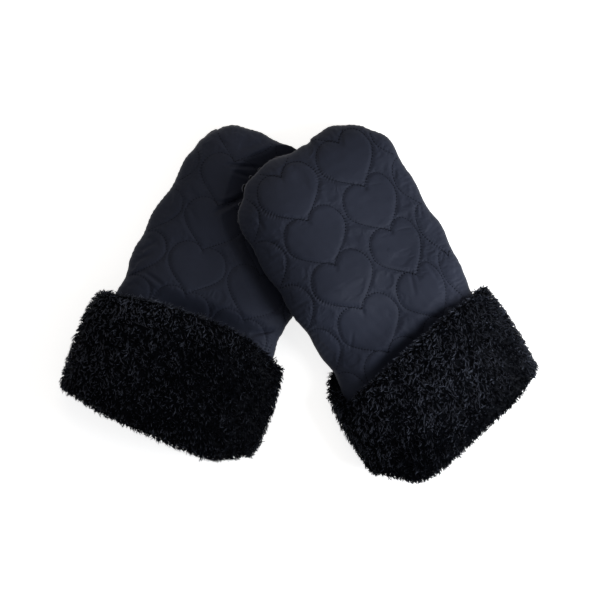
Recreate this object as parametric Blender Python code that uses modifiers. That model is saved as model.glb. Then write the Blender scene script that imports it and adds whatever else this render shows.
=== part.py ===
"""A pair of quilted hand mitts for a stroller's handlebar, lying flat with the right mitt over the left.

Each mitt is a pouch of two quilted panels (nylon shell, wadding, fleece lining) with a deep cuff of
curly fur that is turned back over its mouth. The corner of the front panel beside the finger end is
free: it lifts like a flap, so that the handlebar can pass in, and two press studs close it.

A mitt is modelled in its own frame: X runs across it, -Y from the finger end to the cuff, Z up.
"""

from math import atan2, radians, tau

import bpy
import numpy as np
from mathutils import Matrix, Vector
from mathutils.geometry import delaunay_2d_cdt

# Pouch: the two quilted panels
POUCH_WIDTH = 0.154
SEAM_HEIGHT = 0.012
RIM_EDGE = 0.0012
CROWN_HEIGHT = 0.0205
CROWN_REACH = 0.055
UNDERSIDE_REACH = 0.023
SHELL_THICKNESS = 0.0015
LINING_THICKNESS = 0.0015
LAYER_GAP = 0.0005
FACET_ALLOWANCE = 0.0018
LAYER_INSET = 0.0080
LEAST_WADDING = 0.0015
CAVITY_RISE = 0.0085
LIP_BAND = 0.020
CAVITY_REACH = 0.036

# Heart quilting, sewn through the front panel
HEART_WIDTH = 0.061
HEART_PITCH = 0.0455
QUILT_DEPTH = 0.0032
QUILT_SOFTNESS = 0.0034
QUILT_MARGIN = 0.009
SEAM_STEP = 0.0075

# Handle slot: the free corner of the front panel and its press studs
SLOT_CUT = 0.0008
HINGE_CLEARANCE = 0.0003
SNAP_RADIUS = 0.0055
SNAP_RIM_SETBACK = 0.0105
SOCKET_BORE_RADIUS = 0.0029
SOCKET_THICKNESS = 0.0018
STUD_PLATE_THICKNESS = 0.0010
STUD_RADIUS = 0.0017
STUD_HEIGHT = 0.0011
SNAP_GAP = 0.0003
SNAP_SIDES = 12
LIP_GAP = SOCKET_THICKNESS + STUD_PLATE_THICKNESS + 3 * SNAP_GAP

# Cuff: fur folded round the mouth of a thin sleeve
FUR_THICKNESS = 0.0098
FUR_UNDER = 0.0064
FUR_LINING = 0.0060
SLEEVE_THICKNESS = 0.0030
CUFF_SIDE = 0.0155
CUFF_GAP = 0.0004
CUFF_EDGE_GAP = 0.0009
CUFF_STATIONS = 36
CUFF_CORNER_POWER = 6
CUFF_RISE_LENGTH = 0.050
CUFF_RISE_MARGIN = 0.016

# How the pair lies: the right mitt is propped up where it crosses the left one
PAIR_OFFSET = (-0.0004, -0.0010)
PROP_HEIGHT = 0.031
PROP_START = 0.040
PROP_RUN = 0.117
PROP_BEND = 0.016
PROP_LENGTH = 0.124
PROP_FADE = 0.060
PRESS_CLEARANCE = 0.0012
PRESS_SLOPE = 0.8
PRESS_LEAST_SHARE = 0.5

# Plan steps of the sheets' triangles
FINE_STEP = 0.0120
COARSE_STEP = 0.024
RIM_STEP = 0.0085
COARSE_RIM_STEP = 0.013
PLAN_TOLERANCE = 0.00001

# The cuff's outer layer from its near edge to the roll: how far along the cuff each ring lies, then
# its fur over the top, at the sides and underneath, in shares of their thicknesses
CUFF_OUTER_SHARES = (
    (-0.02, 0.62, 0.62, 0.80),
    (0.07, 0.96, 0.92, 1.00),
    (0.28, 1.10, 1.08, 1.00),
    (0.52, 1.14, 1.12, 1.00),
    (0.78, 1.10, 1.08, 1.00),
    (0.93, 0.90, 1.00, 1.00),
    (0.99, 0.45, 0.80, 0.70),
)

# The cuff's inner layer from the roll inwards, in shares of its depth inside the pouch's outline
CUFF_INNER_SHARES = ((0.97, 0.8, 0.4, 0.8), (0.84, 1.0, 1.0, 1.0))
CUFF_NEAR_SHARE = 0.02
CUFF_ROLL_SIDE_SHARE = 0.40
CUFF_FACING_SHARE = 0.35
SLEEVE_END_SHARE = 0.70
SLEEVE_SLOT_SHARE = 0.74

# A stud's profile: its flat top in shares of its radius, its shoulder in shares of its height
STUD_TOP_SHARE = 0.7
STUD_SHOULDER_SHARE = 0.6

# How close a plan's inner points may come to its outline, in shares of a step
PLAN_MARGIN_SHARE = 1 / 3
RIM_MARGIN_SHARE = 1 / 4
EDGE_SLACK_SHARE = 0.2

# Where a coarse sheet looks for the lowest point of the pressing round each of its points
AROUND_SHARES = ((0, 0), (0.6, 0), (-0.6, 0), (0, 0.6), (0, -0.6))

# Half a heart from notch to tip: two Bezier curves, in shares of its width and row pitch
HEART_SHARES = (
    ((0.0, 0.0), (0.06, -0.26), (0.44, -0.32), (0.5, 0.24)),
    ((0.5, 0.24), (0.53, 0.56), (0.15, 0.80), (0.0, 1.0)),
)

# Rims from the mouth's left end round the finger end, in shares of pouch width and panel length
RIGHT_RIM_SHARES = (
    (-0.49, 1.0), (-0.49, 0.80), (-0.492, 0.59), (-0.50, 0.43), (-0.50, 0.27), (-0.48, 0.148),
    (-0.40, 0.072), (-0.29, 0.016), (-0.16, 0.0), (0.0, 0.006), (0.16, 0.0), (0.29, 0.012),
    (0.386, 0.052), (0.455, 0.118), (0.498, 0.190), (0.497, 0.35), (0.49, 0.59), (0.47, 0.80), (0.47, 1.0),
)
LEFT_RIM_SHARES = (
    (-0.51, 1.0), (-0.51, 0.86), (-0.492, 0.68), (-0.472, 0.545), (-0.432, 0.41), (-0.402, 0.28),
    (-0.368, 0.158), (-0.304, 0.068), (-0.216, 0.022), (-0.105, 0.0), (0.03, 0.009), (0.17, 0.022),
    (0.286, 0.040), (0.38, 0.081), (0.45, 0.135), (0.497, 0.20), (0.52, 0.315), (0.526, 0.45),
    (0.526, 0.585), (0.512, 0.73), (0.49, 0.86), (0.49, 1.0),
)

# A cuff covers the panels' ends by cuff_over_front and cuff_over_back, and reaches cuff_reach past them
MITTS = {
    "right": {
        "turn": radians(31.5),
        "tip": (-0.00675, 0.1389),
        "panel_length": 0.230,
        "rim_shares": RIGHT_RIM_SHARES,
        "slot_shares": ((-0.52, 0.300), (0.03, -0.010)),
        "snap_shares": (0.37, 0.66),
        "heart_scale_share": 1.0,
        "heart_column": -0.0234,
        "heart_row": 0.0207,
        "cuff_over_front": 0.0245,
        "cuff_front_slope": -0.178,
        "cuff_over_back": 0.0395,
        "cuff_back_slope": 0.0,
        "cuff_reach": 0.0780,
        "cuff_end_slope": -0.19,
        "cuff_shift": -0.0025,
        "cuff_corners": (0.034, 0.010),
    },
    "left": {
        "turn": radians(-20.0),
        "tip": (-0.0289, 0.1528),
        "panel_length": 0.200,
        "rim_shares": LEFT_RIM_SHARES,
        "slot_shares": ((-0.45, 0.365), (-0.045, -0.012)),
        "snap_shares": (0.40, 0.68),
        "heart_scale_share": 0.92,
        "heart_column": -0.0180,
        "heart_row": 0.0350,
        "cuff_over_front": 0.0255,
        "cuff_front_slope": 0.03,
        "cuff_over_back": 0.0210,
        "cuff_back_slope": 0.02,
        "cuff_reach": 0.0895,
        "cuff_end_slope": 0.06,
        "cuff_shift": -0.0040,
        "cuff_corners": (0.016, 0.016),
    },
}


def linear(red, green, blue):
    """A colour written in 0-255 display values, as the shader's linear values."""
    values = np.array([red, green, blue]) / 255
    return (*np.where(values <= 0.04045, values / 12.92, ((values + 0.055) / 1.055) ** 2.4), 1.0)


def make_material(name, colour, roughness, metallic=0.0):
    material = bpy.data.materials.new(name)
    material.use_nodes = True
    shader = material.node_tree.nodes["Principled BSDF"]
    shader.inputs["Base Color"].default_value = colour
    shader.inputs["Roughness"].default_value = roughness
    shader.inputs["Metallic"].default_value = metallic
    return material


def shell_nylon():
    return make_material("shell_nylon", linear(42, 47, 59), 0.62)


def polyester_wadding():
    return make_material("polyester_wadding", linear(226, 225, 220), 0.95)


def fleece_lining():
    return make_material("fleece_lining", linear(24, 25, 29), 0.95)


def curly_fur():
    return make_material("curly_fur", linear(17, 19, 23), 0.9)


def snap_metal():
    return make_material("snap_metal", linear(120, 122, 126), 0.35, 1.0)


def ease(share):
    """A smooth step from 0 to 1."""
    share = np.clip(share, 0.0, 1.0)
    return share * share * (3 - 2 * share)


def swell(distance, reach):
    """A quarter ellipse: 0 and upright at the rim, 1 and level at the reach."""
    share = np.clip(distance / reach, 0.0, 1.0)
    return np.sqrt(1 - (1 - share) ** 2)


def spline(points, step):
    """An open Catmull-Rom curve through the points, with a sample about every step."""
    padded = np.vstack([2 * points[0] - points[1], points, 2 * points[-1] - points[-2]])
    samples = []
    for a, b, c, d in zip(padded[:-3], padded[1:-2], padded[2:-1], padded[3:]):
        count = max(1, round(float(np.linalg.norm(c - b)) / step))
        for share in np.arange(count)[:, None] / count:
            samples.append(
                0.5 * (2 * b + (c - a) * share + (2 * a - 5 * b + 4 * c - d) * share**2
                       + (3 * b - a - 3 * c + d) * share**3)
            )
    return np.vstack([*samples, points[-1:]])


def bezier(control, shares):
    """Points of a cubic Bezier curve."""
    a, b, c, d = (np.array(point) for point in control)
    s = np.asarray(shares)[:, None]
    return a * (1 - s) ** 3 + 3 * b * s * (1 - s) ** 2 + 3 * c * s**2 * (1 - s) + d * s**3


def distance_to_line(points, line):
    """Shortest distance from each point to an open run of straight pieces."""
    start, along = line[:-1], line[1:] - line[:-1]
    offset = points[:, None] - start[None]
    share = np.clip((offset * along).sum(2) / (along**2).sum(1), 0.0, 1.0)
    return np.linalg.norm(offset - share[..., None] * along, axis=2).min(1)


def divide(outline, step):
    """A closed outline with its long edges cut into pieces no longer than the step."""
    points = []
    for here, after in zip(outline, np.roll(outline, -1, axis=0)):
        count = max(1, int(np.ceil(np.linalg.norm(after - here) / step - EDGE_SLACK_SHARE)))
        points += [here + (after - here) * k / count for k in range(count)]
    return np.array(points)


def clip_outline(outline, side):
    """The part of a closed outline where side, one number for each of its points, is positive."""
    kept = []
    for k, here in enumerate(outline):
        after = (k + 1) % len(outline)
        if side[k] >= 0:
            kept.append(here)
        if side[k] * side[after] < 0:
            kept.append(here + (outline[after] - here) * side[k] / (side[k] - side[after]))
    return np.array(kept)


def inside_outline(points, outline):
    """Whether each point is inside a closed outline, by counting the edges to its right."""
    x, y = points[:, :1], points[:, 1:]
    (x0, y0), (x1, y1) = outline.T, np.roll(outline, -1, axis=0).T
    crosses = (y0 > y) != (y1 > y)
    rise = np.where(y1 == y0, 1.0, y1 - y0)
    return (crosses & (x < x0 + (x1 - x0) * (y - y0) / rise)).sum(1) % 2 == 1


class Mitt:
    """One mitt's plan curves and heights, in the mitt's own frame."""

    def __init__(self, side, over=None):
        """over is the mitt that lies on this one and presses it."""
        self.side, self.sizes, self.over = side, MITTS[side], over
        self.length = self.sizes["panel_length"]
        tip_x, tip_y = self.sizes["tip"]
        place = Vector((tip_x + PAIR_OFFSET[0], tip_y + PAIR_OFFSET[1], 0.0))
        self.world = Matrix.Translation(place) @ Matrix.Rotation(self.sizes["turn"], 4, "Z")
        self.rim = spline(self.plan(self.sizes["rim_shares"]), RIM_STEP / 4)
        self.slot = self.plan(self.sizes["slot_shares"])
        along = self.slot[1] - self.slot[0]
        self.slot_length = float(np.linalg.norm(along))
        self.slot_along = along / self.slot_length
        self.slot_across = np.array([self.slot_along[1], -self.slot_along[0]])
        self.hearts = self.heart_lines()
        self.heart_points = np.vstack(self.hearts)

    def plan(self, shares):
        """Points written as shares of the pouch's width and the panels' length, X and Y."""
        return np.array(shares) * (POUCH_WIDTH, -self.length)

    def heart_lines(self):
        """The quilting's seams: half hearts on a lattice of columns and rows, left and right."""
        scale = self.sizes["heart_scale_share"]
        width, pitch = HEART_WIDTH * scale, HEART_PITCH * scale
        count = max(2, round(pitch / SEAM_STEP))
        shares = np.arange(count + 1) / count
        half = np.vstack([bezier(HEART_SHARES[0], shares), bezier(HEART_SHARES[1], shares)[1:]])
        columns = range(-int(POUCH_WIDTH / width) - 1, int(POUCH_WIDTH / width) + 2)
        rows = range(-1, int(self.length / pitch) + 2)
        first = self.sizes["heart_row"] % pitch
        lines = []
        for column in columns:
            for row in rows:
                centre = (self.sizes["heart_column"] + column * width, -(first + row * pitch))
                for hand in (-1, 1):
                    lines.append(centre + half * (hand * width, -pitch))
        return lines

    def rim_distance(self, points):
        return distance_to_line(points, self.rim)

    def cuff_rise(self, points):
        """How far the pouch is held up near the cuff by the fur below it."""
        start = self.length - self.sizes["cuff_over_back"] - CUFF_RISE_MARGIN - CUFF_RISE_LENGTH
        return FUR_UNDER * ease((-points[:, 1] - start) / CUFF_RISE_LENGTH)

    def seam_level(self, points):
        return SEAM_HEIGHT + self.cuff_rise(points)

    def crown(self, points):
        """The front panel's outer face without its quilting."""
        distance = self.rim_distance(points)
        return self.seam_level(points) + RIM_EDGE + CROWN_HEIGHT * swell(distance, CROWN_REACH)

    def relief(self, points):
        """Depth of the quilting seams: deepest on a seam, and none at the rim."""
        nearest = np.full(len(points), np.inf)
        for line in self.hearts:
            nearest = np.minimum(nearest, distance_to_line(points, line))
        fade = ease((self.rim_distance(points) - RIM_EDGE) / QUILT_MARGIN)
        return QUILT_DEPTH * fade * np.exp(-((nearest / QUILT_SOFTNESS) ** 2))

    def front_face(self, points):
        return self.crown(points) - self.relief(points)

    def front_shell_inside(self, points):
        edge = np.minimum(SHELL_THICKNESS, self.front_face(points) - self.seam_level(points) - LAYER_GAP / 2)
        return self.front_face(points) - edge

    def front_wadding_top(self, points):
        around = [self.press(points + COARSE_RIM_STEP * np.array(step)) for step in AROUND_SHARES]
        share = np.min(around, axis=0) / self.press(points)
        full = (self.crown(points) - QUILT_DEPTH - SHELL_THICKNESS) * share - FACET_ALLOWANCE
        return np.maximum(full, self.front_wadding_bottom(points) + LEAST_WADDING)

    def front_wadding_bottom(self, points):
        return self.front_lining_top(points) + LAYER_GAP

    def front_lining_top(self, points):
        return self.front_lining_bottom(points) + LINING_THICKNESS

    def front_lining_bottom(self, points):
        rise = CAVITY_RISE * ease((self.rim_distance(points) - LIP_BAND) / CAVITY_REACH)
        return self.seam_level(points) + LIP_GAP / 2 + rise

    def back_face(self, points):
        """The back panel's outer face: flat on the floor, curving up to the seam at the rim."""
        drop = (SEAM_HEIGHT - RIM_EDGE) * swell(self.rim_distance(points), UNDERSIDE_REACH)
        return self.seam_level(points) - RIM_EDGE - drop

    def back_shell_inside(self, points):
        limit = self.seam_level(points) - LAYER_GAP / 2
        return np.minimum(self.back_face(points) + SHELL_THICKNESS, limit)

    def back_wadding_bottom(self, points):
        return self.back_face(points) + SHELL_THICKNESS + FACET_ALLOWANCE

    def back_wadding_top(self, points):
        return self.back_lining_top(points) - LINING_THICKNESS - LAYER_GAP

    def back_lining_bottom(self, points):
        return self.back_lining_top(points) - LINING_THICKNESS

    def back_lining_top(self, points):
        return self.seam_level(points) - LIP_GAP / 2

    def prop(self, points):
        """How far the right mitt is propped up: a ramp across it that fades out towards the cuff."""
        if self.side != "right":
            return np.zeros(len(points))
        past = PROP_START - points[:, 0]
        bend = np.clip(past + PROP_BEND, 0.0, None) ** 2 / (4 * PROP_BEND)
        share = np.minimum(np.where(past < PROP_BEND, bend, past) / PROP_RUN, 1.0)
        ramp = share * (2 - share)
        return PROP_HEIGHT * ramp * (1 - ease((-points[:, 1] - PROP_LENGTH) / PROP_FADE))

    def press(self, points):
        """How far the left mitt is flattened under the right one: a share of its height."""
        if self.over is None:
            return np.ones(len(points))
        over = self.over
        change = np.array(over.world.inverted() @ self.world)
        moved = points @ change[:2, :2].T + change[:2, 3]
        closed = np.vstack([over.rim, over.rim[:1]])
        beside = np.where(inside_outline(moved, closed), 0.0, PRESS_SLOPE * over.rim_distance(moved))
        room = over.prop(moved) + over.cuff_rise(moved) + beside - PRESS_CLEARANCE
        return np.clip(room / self.crown(points), PRESS_LEAST_SHARE, 1.0)

    def settle(self, points, heights):
        """Heights as the mitt lies in the pair."""
        return heights * self.press(points) + self.prop(points)

    def slot_side(self, points):
        """Distance of each point from the slot's line: above 0 on the main panel, below 0 on the flap."""
        return (points - self.slot[0]) @ self.slot_across

    def snap_place(self, share):
        """A press stud's place: set back from the rim, at a share of the slot's length along it."""
        lip = self.rim[self.slot_side(self.rim) < 0]
        along = (lip - self.slot[0]) @ self.slot_along
        order = np.argsort(along)
        depth = np.interp(share * self.slot_length, along[order], -self.slot_side(lip)[order])
        foot = self.slot[0] + self.slot_along * self.slot_length * share
        return foot - self.slot_across * (depth - SNAP_RIM_SETBACK)

    def inset_rim(self, inset, step):
        """The rim moved inwards, closed by the straight edge at the panels' end."""
        line = spline(self.plan(self.sizes["rim_shares"]), step)
        along = np.gradient(line, axis=0)
        along /= np.linalg.norm(along, axis=1)[:, None]
        moved = line + inset * np.column_stack([along[:, 1], -along[:, 0]])
        moved[0, 1] = moved[-1, 1] = -self.length
        return moved

    def panel_outline(self, inset, step):
        """The inset rim and the straight end edge, whose points crowd towards the edge's ends."""
        line = self.inset_rim(inset, step)
        count = max(4, round(POUCH_WIDTH / step) + 1)
        shares = (1 - np.cos(np.pi * np.arange(1, count) / count))[:, None] / 2
        return np.vstack([line, line[-1] + (line[0] - line[-1]) * shares])

    def hinge(self):
        """Two ends of the slot flap's hinge line, level with the highest point of the crown along it."""
        shares = np.linspace(0.0, 1.0, 25)[:, None]
        line = self.slot[0] + (self.slot[1] - self.slot[0]) * shares
        line = line[inside_outline(line, self.panel_outline(0.0, RIM_STEP))]
        along = (line - self.slot[0]) @ self.slot_along / self.slot_length
        ramp = np.interp(along, (0.0, 1.0), self.prop(self.slot))
        height = (self.crown(line) + self.prop(line) - ramp).max() + HINGE_CLEARANCE
        return np.column_stack([self.slot, height + self.prop(self.slot)])

    def tilt(self, spot):
        """The prop's slope across the mitt, as an angle about Y."""
        beside = spot + ((-PROP_BEND, 0.0), (PROP_BEND, 0.0))
        low, high = self.prop(beside)
        return atan2(low - high, 2 * PROP_BEND)


def add_object(name, mesh, material, collection, parent):
    """A named object placed by its parent: the mesh is in the mitt's frame."""
    mesh.materials.append(material)
    thing = bpy.data.objects.new(name, mesh)
    collection.objects.link(thing)
    thing.parent = parent
    return thing


def faces_to_mesh(name, vertices, faces):
    mesh = bpy.data.meshes.new(name)
    mesh.from_pydata(vertices, [], faces)
    mesh.update()
    return mesh


def sheet_mesh(name, mitt, outline, inner, seams, top, bottom):
    """A closed sheet between two heights: its triangles join the plan's outline, points and seams."""
    points = np.vstack([outline, inner]) if len(inner) else outline
    count = len(outline)
    edges = [(k, (k + 1) % count) for k in range(count)]
    coordinates = [Vector(point) for point in points]
    for line in seams:
        start = len(coordinates)
        coordinates += [Vector(point) for point in line]
        edges += [(start + k, start + k + 1) for k in range(len(line) - 1)]
    plan, _, faces, *_ = delaunay_2d_cdt(coordinates, edges, [], 1, PLAN_TOLERANCE)
    flat = np.array([tuple(point) for point in plan])
    faces = [tuple(face) for face in faces]
    upper = mitt.settle(flat, top(flat))
    lower = mitt.settle(flat, bottom(flat))
    size = len(flat)
    sides = {}
    for face in faces:
        for a, b in zip(face, face[1:] + face[:1]):
            if (b, a) in sides:
                del sides[(b, a)]
            else:
                sides[(a, b)] = True
    vertices = np.vstack([np.column_stack([flat, upper]), np.column_stack([flat, lower])])
    polygons = list(faces)
    polygons += [tuple(size + k for k in reversed(face)) for face in faces]
    for a, b in sides:
        polygons += [(a, size + a, b), (b, size + a, size + b)]
    return faces_to_mesh(name, vertices.tolist(), polygons)


def grid_points(mitt, step, clear_of, clearance):
    """A grid of staggered points over the pouch, clear of the rim and of other points."""
    across = np.arange(-POUCH_WIDTH, POUCH_WIDTH, step)
    down = np.arange(-mitt.length, step, step)
    x, y = np.meshgrid(across, down)
    x = x + step / 2 * (np.arange(len(down)) % 2)[:, None]
    points = np.column_stack([x.ravel(), y.ravel()])
    near = np.linalg.norm(points[:, None] - clear_of[None], axis=2).min(1)
    return points[near > clearance]


def split_plan(mitt, outline, points, lines, flap, step):
    """One side of the slot's line: its outline, and the points and seam pieces well inside it."""
    sign = -1.0 if flap else 1.0
    side = sign * mitt.slot_side(outline) - SLOT_CUT / 2
    part = divide(clip_outline(outline, side), step)
    closed = np.vstack([part, part[:1]])
    margin = step * PLAN_MARGIN_SHARE

    def well_inside(places):
        return inside_outline(places, part) & (distance_to_line(places, closed) > margin)

    inner = points[well_inside(points)] if len(points) else points
    kept = []
    for line in lines:
        good = well_inside(line)
        for a, b, both in zip(line[:-1], line[1:], good[:-1] & good[1:]):
            if both:
                kept.append(np.array([a, b]))
    return part, inner, kept


def ring_points(mitt, inset, step, count):
    """Points on rings inside the rim, where the crown curves most."""
    rings = []
    for k in range(count):
        further = step * (PLAN_MARGIN_SHARE if k == 0 else k)
        rings.append(mitt.inset_rim(inset + further, step * (1 + k / 2))[1:-1])
    return np.vstack(rings)


def panel_mesh(name, mitt, inset, step, rim_step, top, bottom, flap=None, quilted=False):
    """A sheet over the whole pouch, or over one side of the slot's line."""
    outline = mitt.panel_outline(inset, rim_step)
    rings = ring_points(mitt, inset, rim_step, 3 if inset == 0 else 2)
    lines = mitt.hearts if quilted else []
    clear_of = np.vstack([rings, outline, *([mitt.heart_points] if quilted else [])])
    grid = grid_points(mitt, step, clear_of, step / 2)
    if quilted:
        near = np.linalg.norm(rings[:, None] - mitt.heart_points[None], axis=2).min(1)
        rings = rings[near > rim_step * PLAN_MARGIN_SHARE]
    points = np.vstack([rings, grid])
    if flap is None:
        part = divide(outline, step)
        closed = np.vstack([part, part[:1]])
        good = inside_outline(points, part) & (distance_to_line(points, closed) > rim_step * RIM_MARGIN_SHARE)
        return sheet_mesh(name, mitt, part, points[good], [], top, bottom)
    part, inner, kept = split_plan(mitt, outline, points, lines, flap, rim_step)
    return sheet_mesh(name, mitt, part, inner, kept, top, bottom)


def cuff_ring(mitt, top, side, bottom, reach_share=None, square=None):
    """A closed ring round the pouch's cross-section at the panels' end, pushed outwards by its own amounts.

    reach_share places it between the cuff's near edge (0) and its far edge (1); square places it
    at one distance from the finger end, in shares from the panels' end to the far edge.
    """
    angle = tau * (np.arange(CUFF_STATIONS) + 0.5) / CUFF_STATIONS
    left, right = mitt.plan(mitt.sizes["rim_shares"])[[0, -1], 0]
    middle, half = (left + right) / 2, (right - left) / 2
    x = middle + half * np.cos(angle)
    depth = half - abs(x - middle)
    level = SEAM_HEIGHT + FUR_UNDER
    upper = level + RIM_EDGE + CROWN_HEIGHT * swell(depth, CROWN_REACH)
    lower = level - RIM_EDGE - (SEAM_HEIGHT - RIM_EDGE) * swell(depth, UNDERSIDE_REACH)
    z = np.where(np.sin(angle) > 0, upper, lower)
    loop = np.column_stack([x, z])
    along = np.roll(loop, -1, axis=0) - np.roll(loop, 1, axis=0)
    outward = np.column_stack([along[:, 1], -along[:, 0]])
    outward /= np.linalg.norm(outward, axis=1)[:, None]
    upright = outward[:, 1]
    amount = side * (1 - upright**2) + np.where(upright > 0, top, bottom) * upright**2
    loop = loop + outward * amount[:, None]
    x, z = loop[:, 0] + mitt.sizes["cuff_shift"] * np.clip(amount / CUFF_SIDE, 0.0, 1.0), loop[:, 1]
    sizes = mitt.sizes
    facing = ease((np.sin(angle) + CUFF_FACING_SHARE) / (2 * CUFF_FACING_SHARE))
    front = mitt.length - sizes["cuff_over_front"] + sizes["cuff_front_slope"] * x
    back = mitt.length - sizes["cuff_over_back"] + sizes["cuff_back_slope"] * x
    near = back + (front - back) * facing
    corner = np.where(np.cos(angle) < 0, *sizes["cuff_corners"]) * abs(np.cos(angle)) ** CUFF_CORNER_POWER
    far = mitt.length + sizes["cuff_reach"] + sizes["cuff_end_slope"] * x - corner
    if square is None:
        down = near + (far - near) * reach_share
    else:
        down = mitt.length + CUFF_GAP + (far - mitt.length - CUFF_GAP) * square
    return np.column_stack([x, -down, np.maximum(z, 0.0)])


def ring_mesh(name, rings):
    """A closed tube wall: each ring is joined to the next, and the last to the first."""
    count, stations = len(rings), len(rings[0])
    vertices = np.vstack(rings)
    faces = []
    for k in range(count):
        for j in range(stations):
            a, b = k * stations + j, k * stations + (j + 1) % stations
            c, d = (k + 1) % count * stations + (j + 1) % stations, (k + 1) % count * stations + j
            faces.append((a, b, c, d))
    return faces_to_mesh(name, vertices.tolist(), faces)


def cuff_fur_mesh(mitt, name):
    """Fur folded round the sleeve: outer layer, roll at the mouth, inner layer, and the slot between."""
    inside = -(SLEEVE_THICKNESS + CUFF_GAP)
    inner = inside - FUR_LINING
    roll = (FUR_THICKNESS + inner) / 2
    rings = [cuff_ring(mitt, CUFF_EDGE_GAP, CUFF_EDGE_GAP, CUFF_EDGE_GAP, reach_share=CUFF_NEAR_SHARE)]
    for reach, top, side, under in CUFF_OUTER_SHARES:
        amounts = (FUR_THICKNESS * top, CUFF_SIDE * side, FUR_UNDER * under)
        rings.append(cuff_ring(mitt, *amounts, reach_share=reach))
    rings.append(cuff_ring(mitt, roll, CUFF_SIDE * CUFF_ROLL_SIDE_SHARE, roll, reach_share=1.0))
    for reach, top, side, under in CUFF_INNER_SHARES:
        rings.append(cuff_ring(mitt, inner * top, inner * side, inner * under, reach_share=reach))
    rings += [
        cuff_ring(mitt, inner, inner, inner, square=0.0),
        cuff_ring(mitt, inside, inside, inside, square=0.0),
        cuff_ring(mitt, inside, inside, inside, square=SLEEVE_SLOT_SHARE),
        cuff_ring(mitt, CUFF_GAP, CUFF_GAP, CUFF_GAP, square=SLEEVE_SLOT_SHARE),
        cuff_ring(mitt, CUFF_GAP, CUFF_GAP, CUFF_GAP, square=0.0),
    ]
    return ring_mesh(name, rings)


def cuff_sleeve_mesh(mitt, name):
    """The turned mouth of the shell that the fur is folded round."""
    rings = [
        cuff_ring(mitt, 0.0, 0.0, 0.0, square=0.0),
        cuff_ring(mitt, 0.0, 0.0, 0.0, square=SLEEVE_END_SHARE),
        cuff_ring(mitt, -SLEEVE_THICKNESS, -SLEEVE_THICKNESS, -SLEEVE_THICKNESS, square=SLEEVE_END_SHARE),
        cuff_ring(mitt, -SLEEVE_THICKNESS, -SLEEVE_THICKNESS, -SLEEVE_THICKNESS, square=0.0),
    ]
    return ring_mesh(name, rings)


def turned_object(name, profile, closed, material, collection, parent):
    """A profile of (radius, height) points turned about Z with a Screw modifier."""
    count = len(profile)
    edges = [(k, k + 1) for k in range(count - 1)] + ([(count - 1, 0)] if closed else [])
    mesh = bpy.data.meshes.new(name)
    mesh.from_pydata([(radius, 0.0, height) for radius, height in profile], edges, [])
    thing = add_object(name, mesh, material, collection, parent)
    screw = thing.modifiers.new("turn", "SCREW")
    screw.steps = screw.render_steps = SNAP_SIDES
    screw.use_merge_vertices = True
    screw.merge_threshold = PLAN_TOLERANCE
    return thing


def snap_socket(name, material, collection, parent):
    """The half sewn to the flap: a ring with a bore, its lower face at Z = 0."""
    edge = SOCKET_THICKNESS / 4
    profile = (
        (SOCKET_BORE_RADIUS, SOCKET_THICKNESS),
        (SNAP_RADIUS - edge, SOCKET_THICKNESS),
        (SNAP_RADIUS, SOCKET_THICKNESS - edge),
        (SNAP_RADIUS, edge),
        (SNAP_RADIUS - edge, 0.0),
        (SOCKET_BORE_RADIUS, 0.0),
    )
    return turned_object(name, profile, True, material, collection, parent)


def snap_stud(name, material, collection, parent):
    """The half sewn to the back panel: a plate with a stud, the plate's lower face at Z = 0."""
    edge = STUD_PLATE_THICKNESS / 4
    profile = (
        (0.0, STUD_PLATE_THICKNESS + STUD_HEIGHT),
        (STUD_RADIUS * STUD_TOP_SHARE, STUD_PLATE_THICKNESS + STUD_HEIGHT),
        (STUD_RADIUS, STUD_PLATE_THICKNESS + STUD_HEIGHT * STUD_SHOULDER_SHARE),
        (STUD_RADIUS, STUD_PLATE_THICKNESS),
        (SNAP_RADIUS - edge, STUD_PLATE_THICKNESS),
        (SNAP_RADIUS, STUD_PLATE_THICKNESS - edge),
        (SNAP_RADIUS - edge, 0.0),
        (0.0, 0.0),
    )
    return turned_object(name, profile, False, material, collection, parent)


def add_snaps(mitt, frame, flap_empty, hinge, material, collection):
    """Two press studs between the slot's lips, tilted as the lips are."""
    for number, share in enumerate(mitt.sizes["snap_shares"], 1):
        centre = mitt.snap_place(share)
        spot = centre[None]
        floor = float((mitt.back_lining_top(spot) + mitt.prop(spot))[0])
        turn = Matrix.Rotation(mitt.tilt(centre), 4, "Y")
        seat = Matrix.Translation((centre[0], centre[1], floor)) @ turn
        stud = snap_stud(f"{mitt.side}_snap_stud_{number}", material, collection, frame)
        stud.matrix_local = seat @ Matrix.Translation((0.0, 0.0, SNAP_GAP))
        rise = SNAP_GAP + STUD_PLATE_THICKNESS + SNAP_GAP
        socket = snap_socket(f"{mitt.side}_snap_socket_{number}", material, collection, flap_empty)
        place = seat @ Matrix.Translation((0.0, 0.0, rise))
        socket.matrix_local = hinge.inverted() @ place


def add_empty(name, parent, matrix, collection):
    empty = bpy.data.objects.new(name, None)
    empty.empty_display_size = SNAP_RADIUS
    collection.objects.link(empty)
    empty.parent = parent
    empty.matrix_local = matrix
    return empty


def hinge_matrix(mitt):
    """A frame on the slot flap's hinge line, its X axis along the line."""
    start, end = (Vector(point) for point in mitt.hinge())
    along = (end - start).normalized()
    across = Vector((0.0, 0.0, 1.0)).cross(along).normalized()
    up = along.cross(across)
    turn = Matrix((along, across, up)).transposed().to_4x4()
    return Matrix.Translation((start + end) / 2) @ turn


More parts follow.
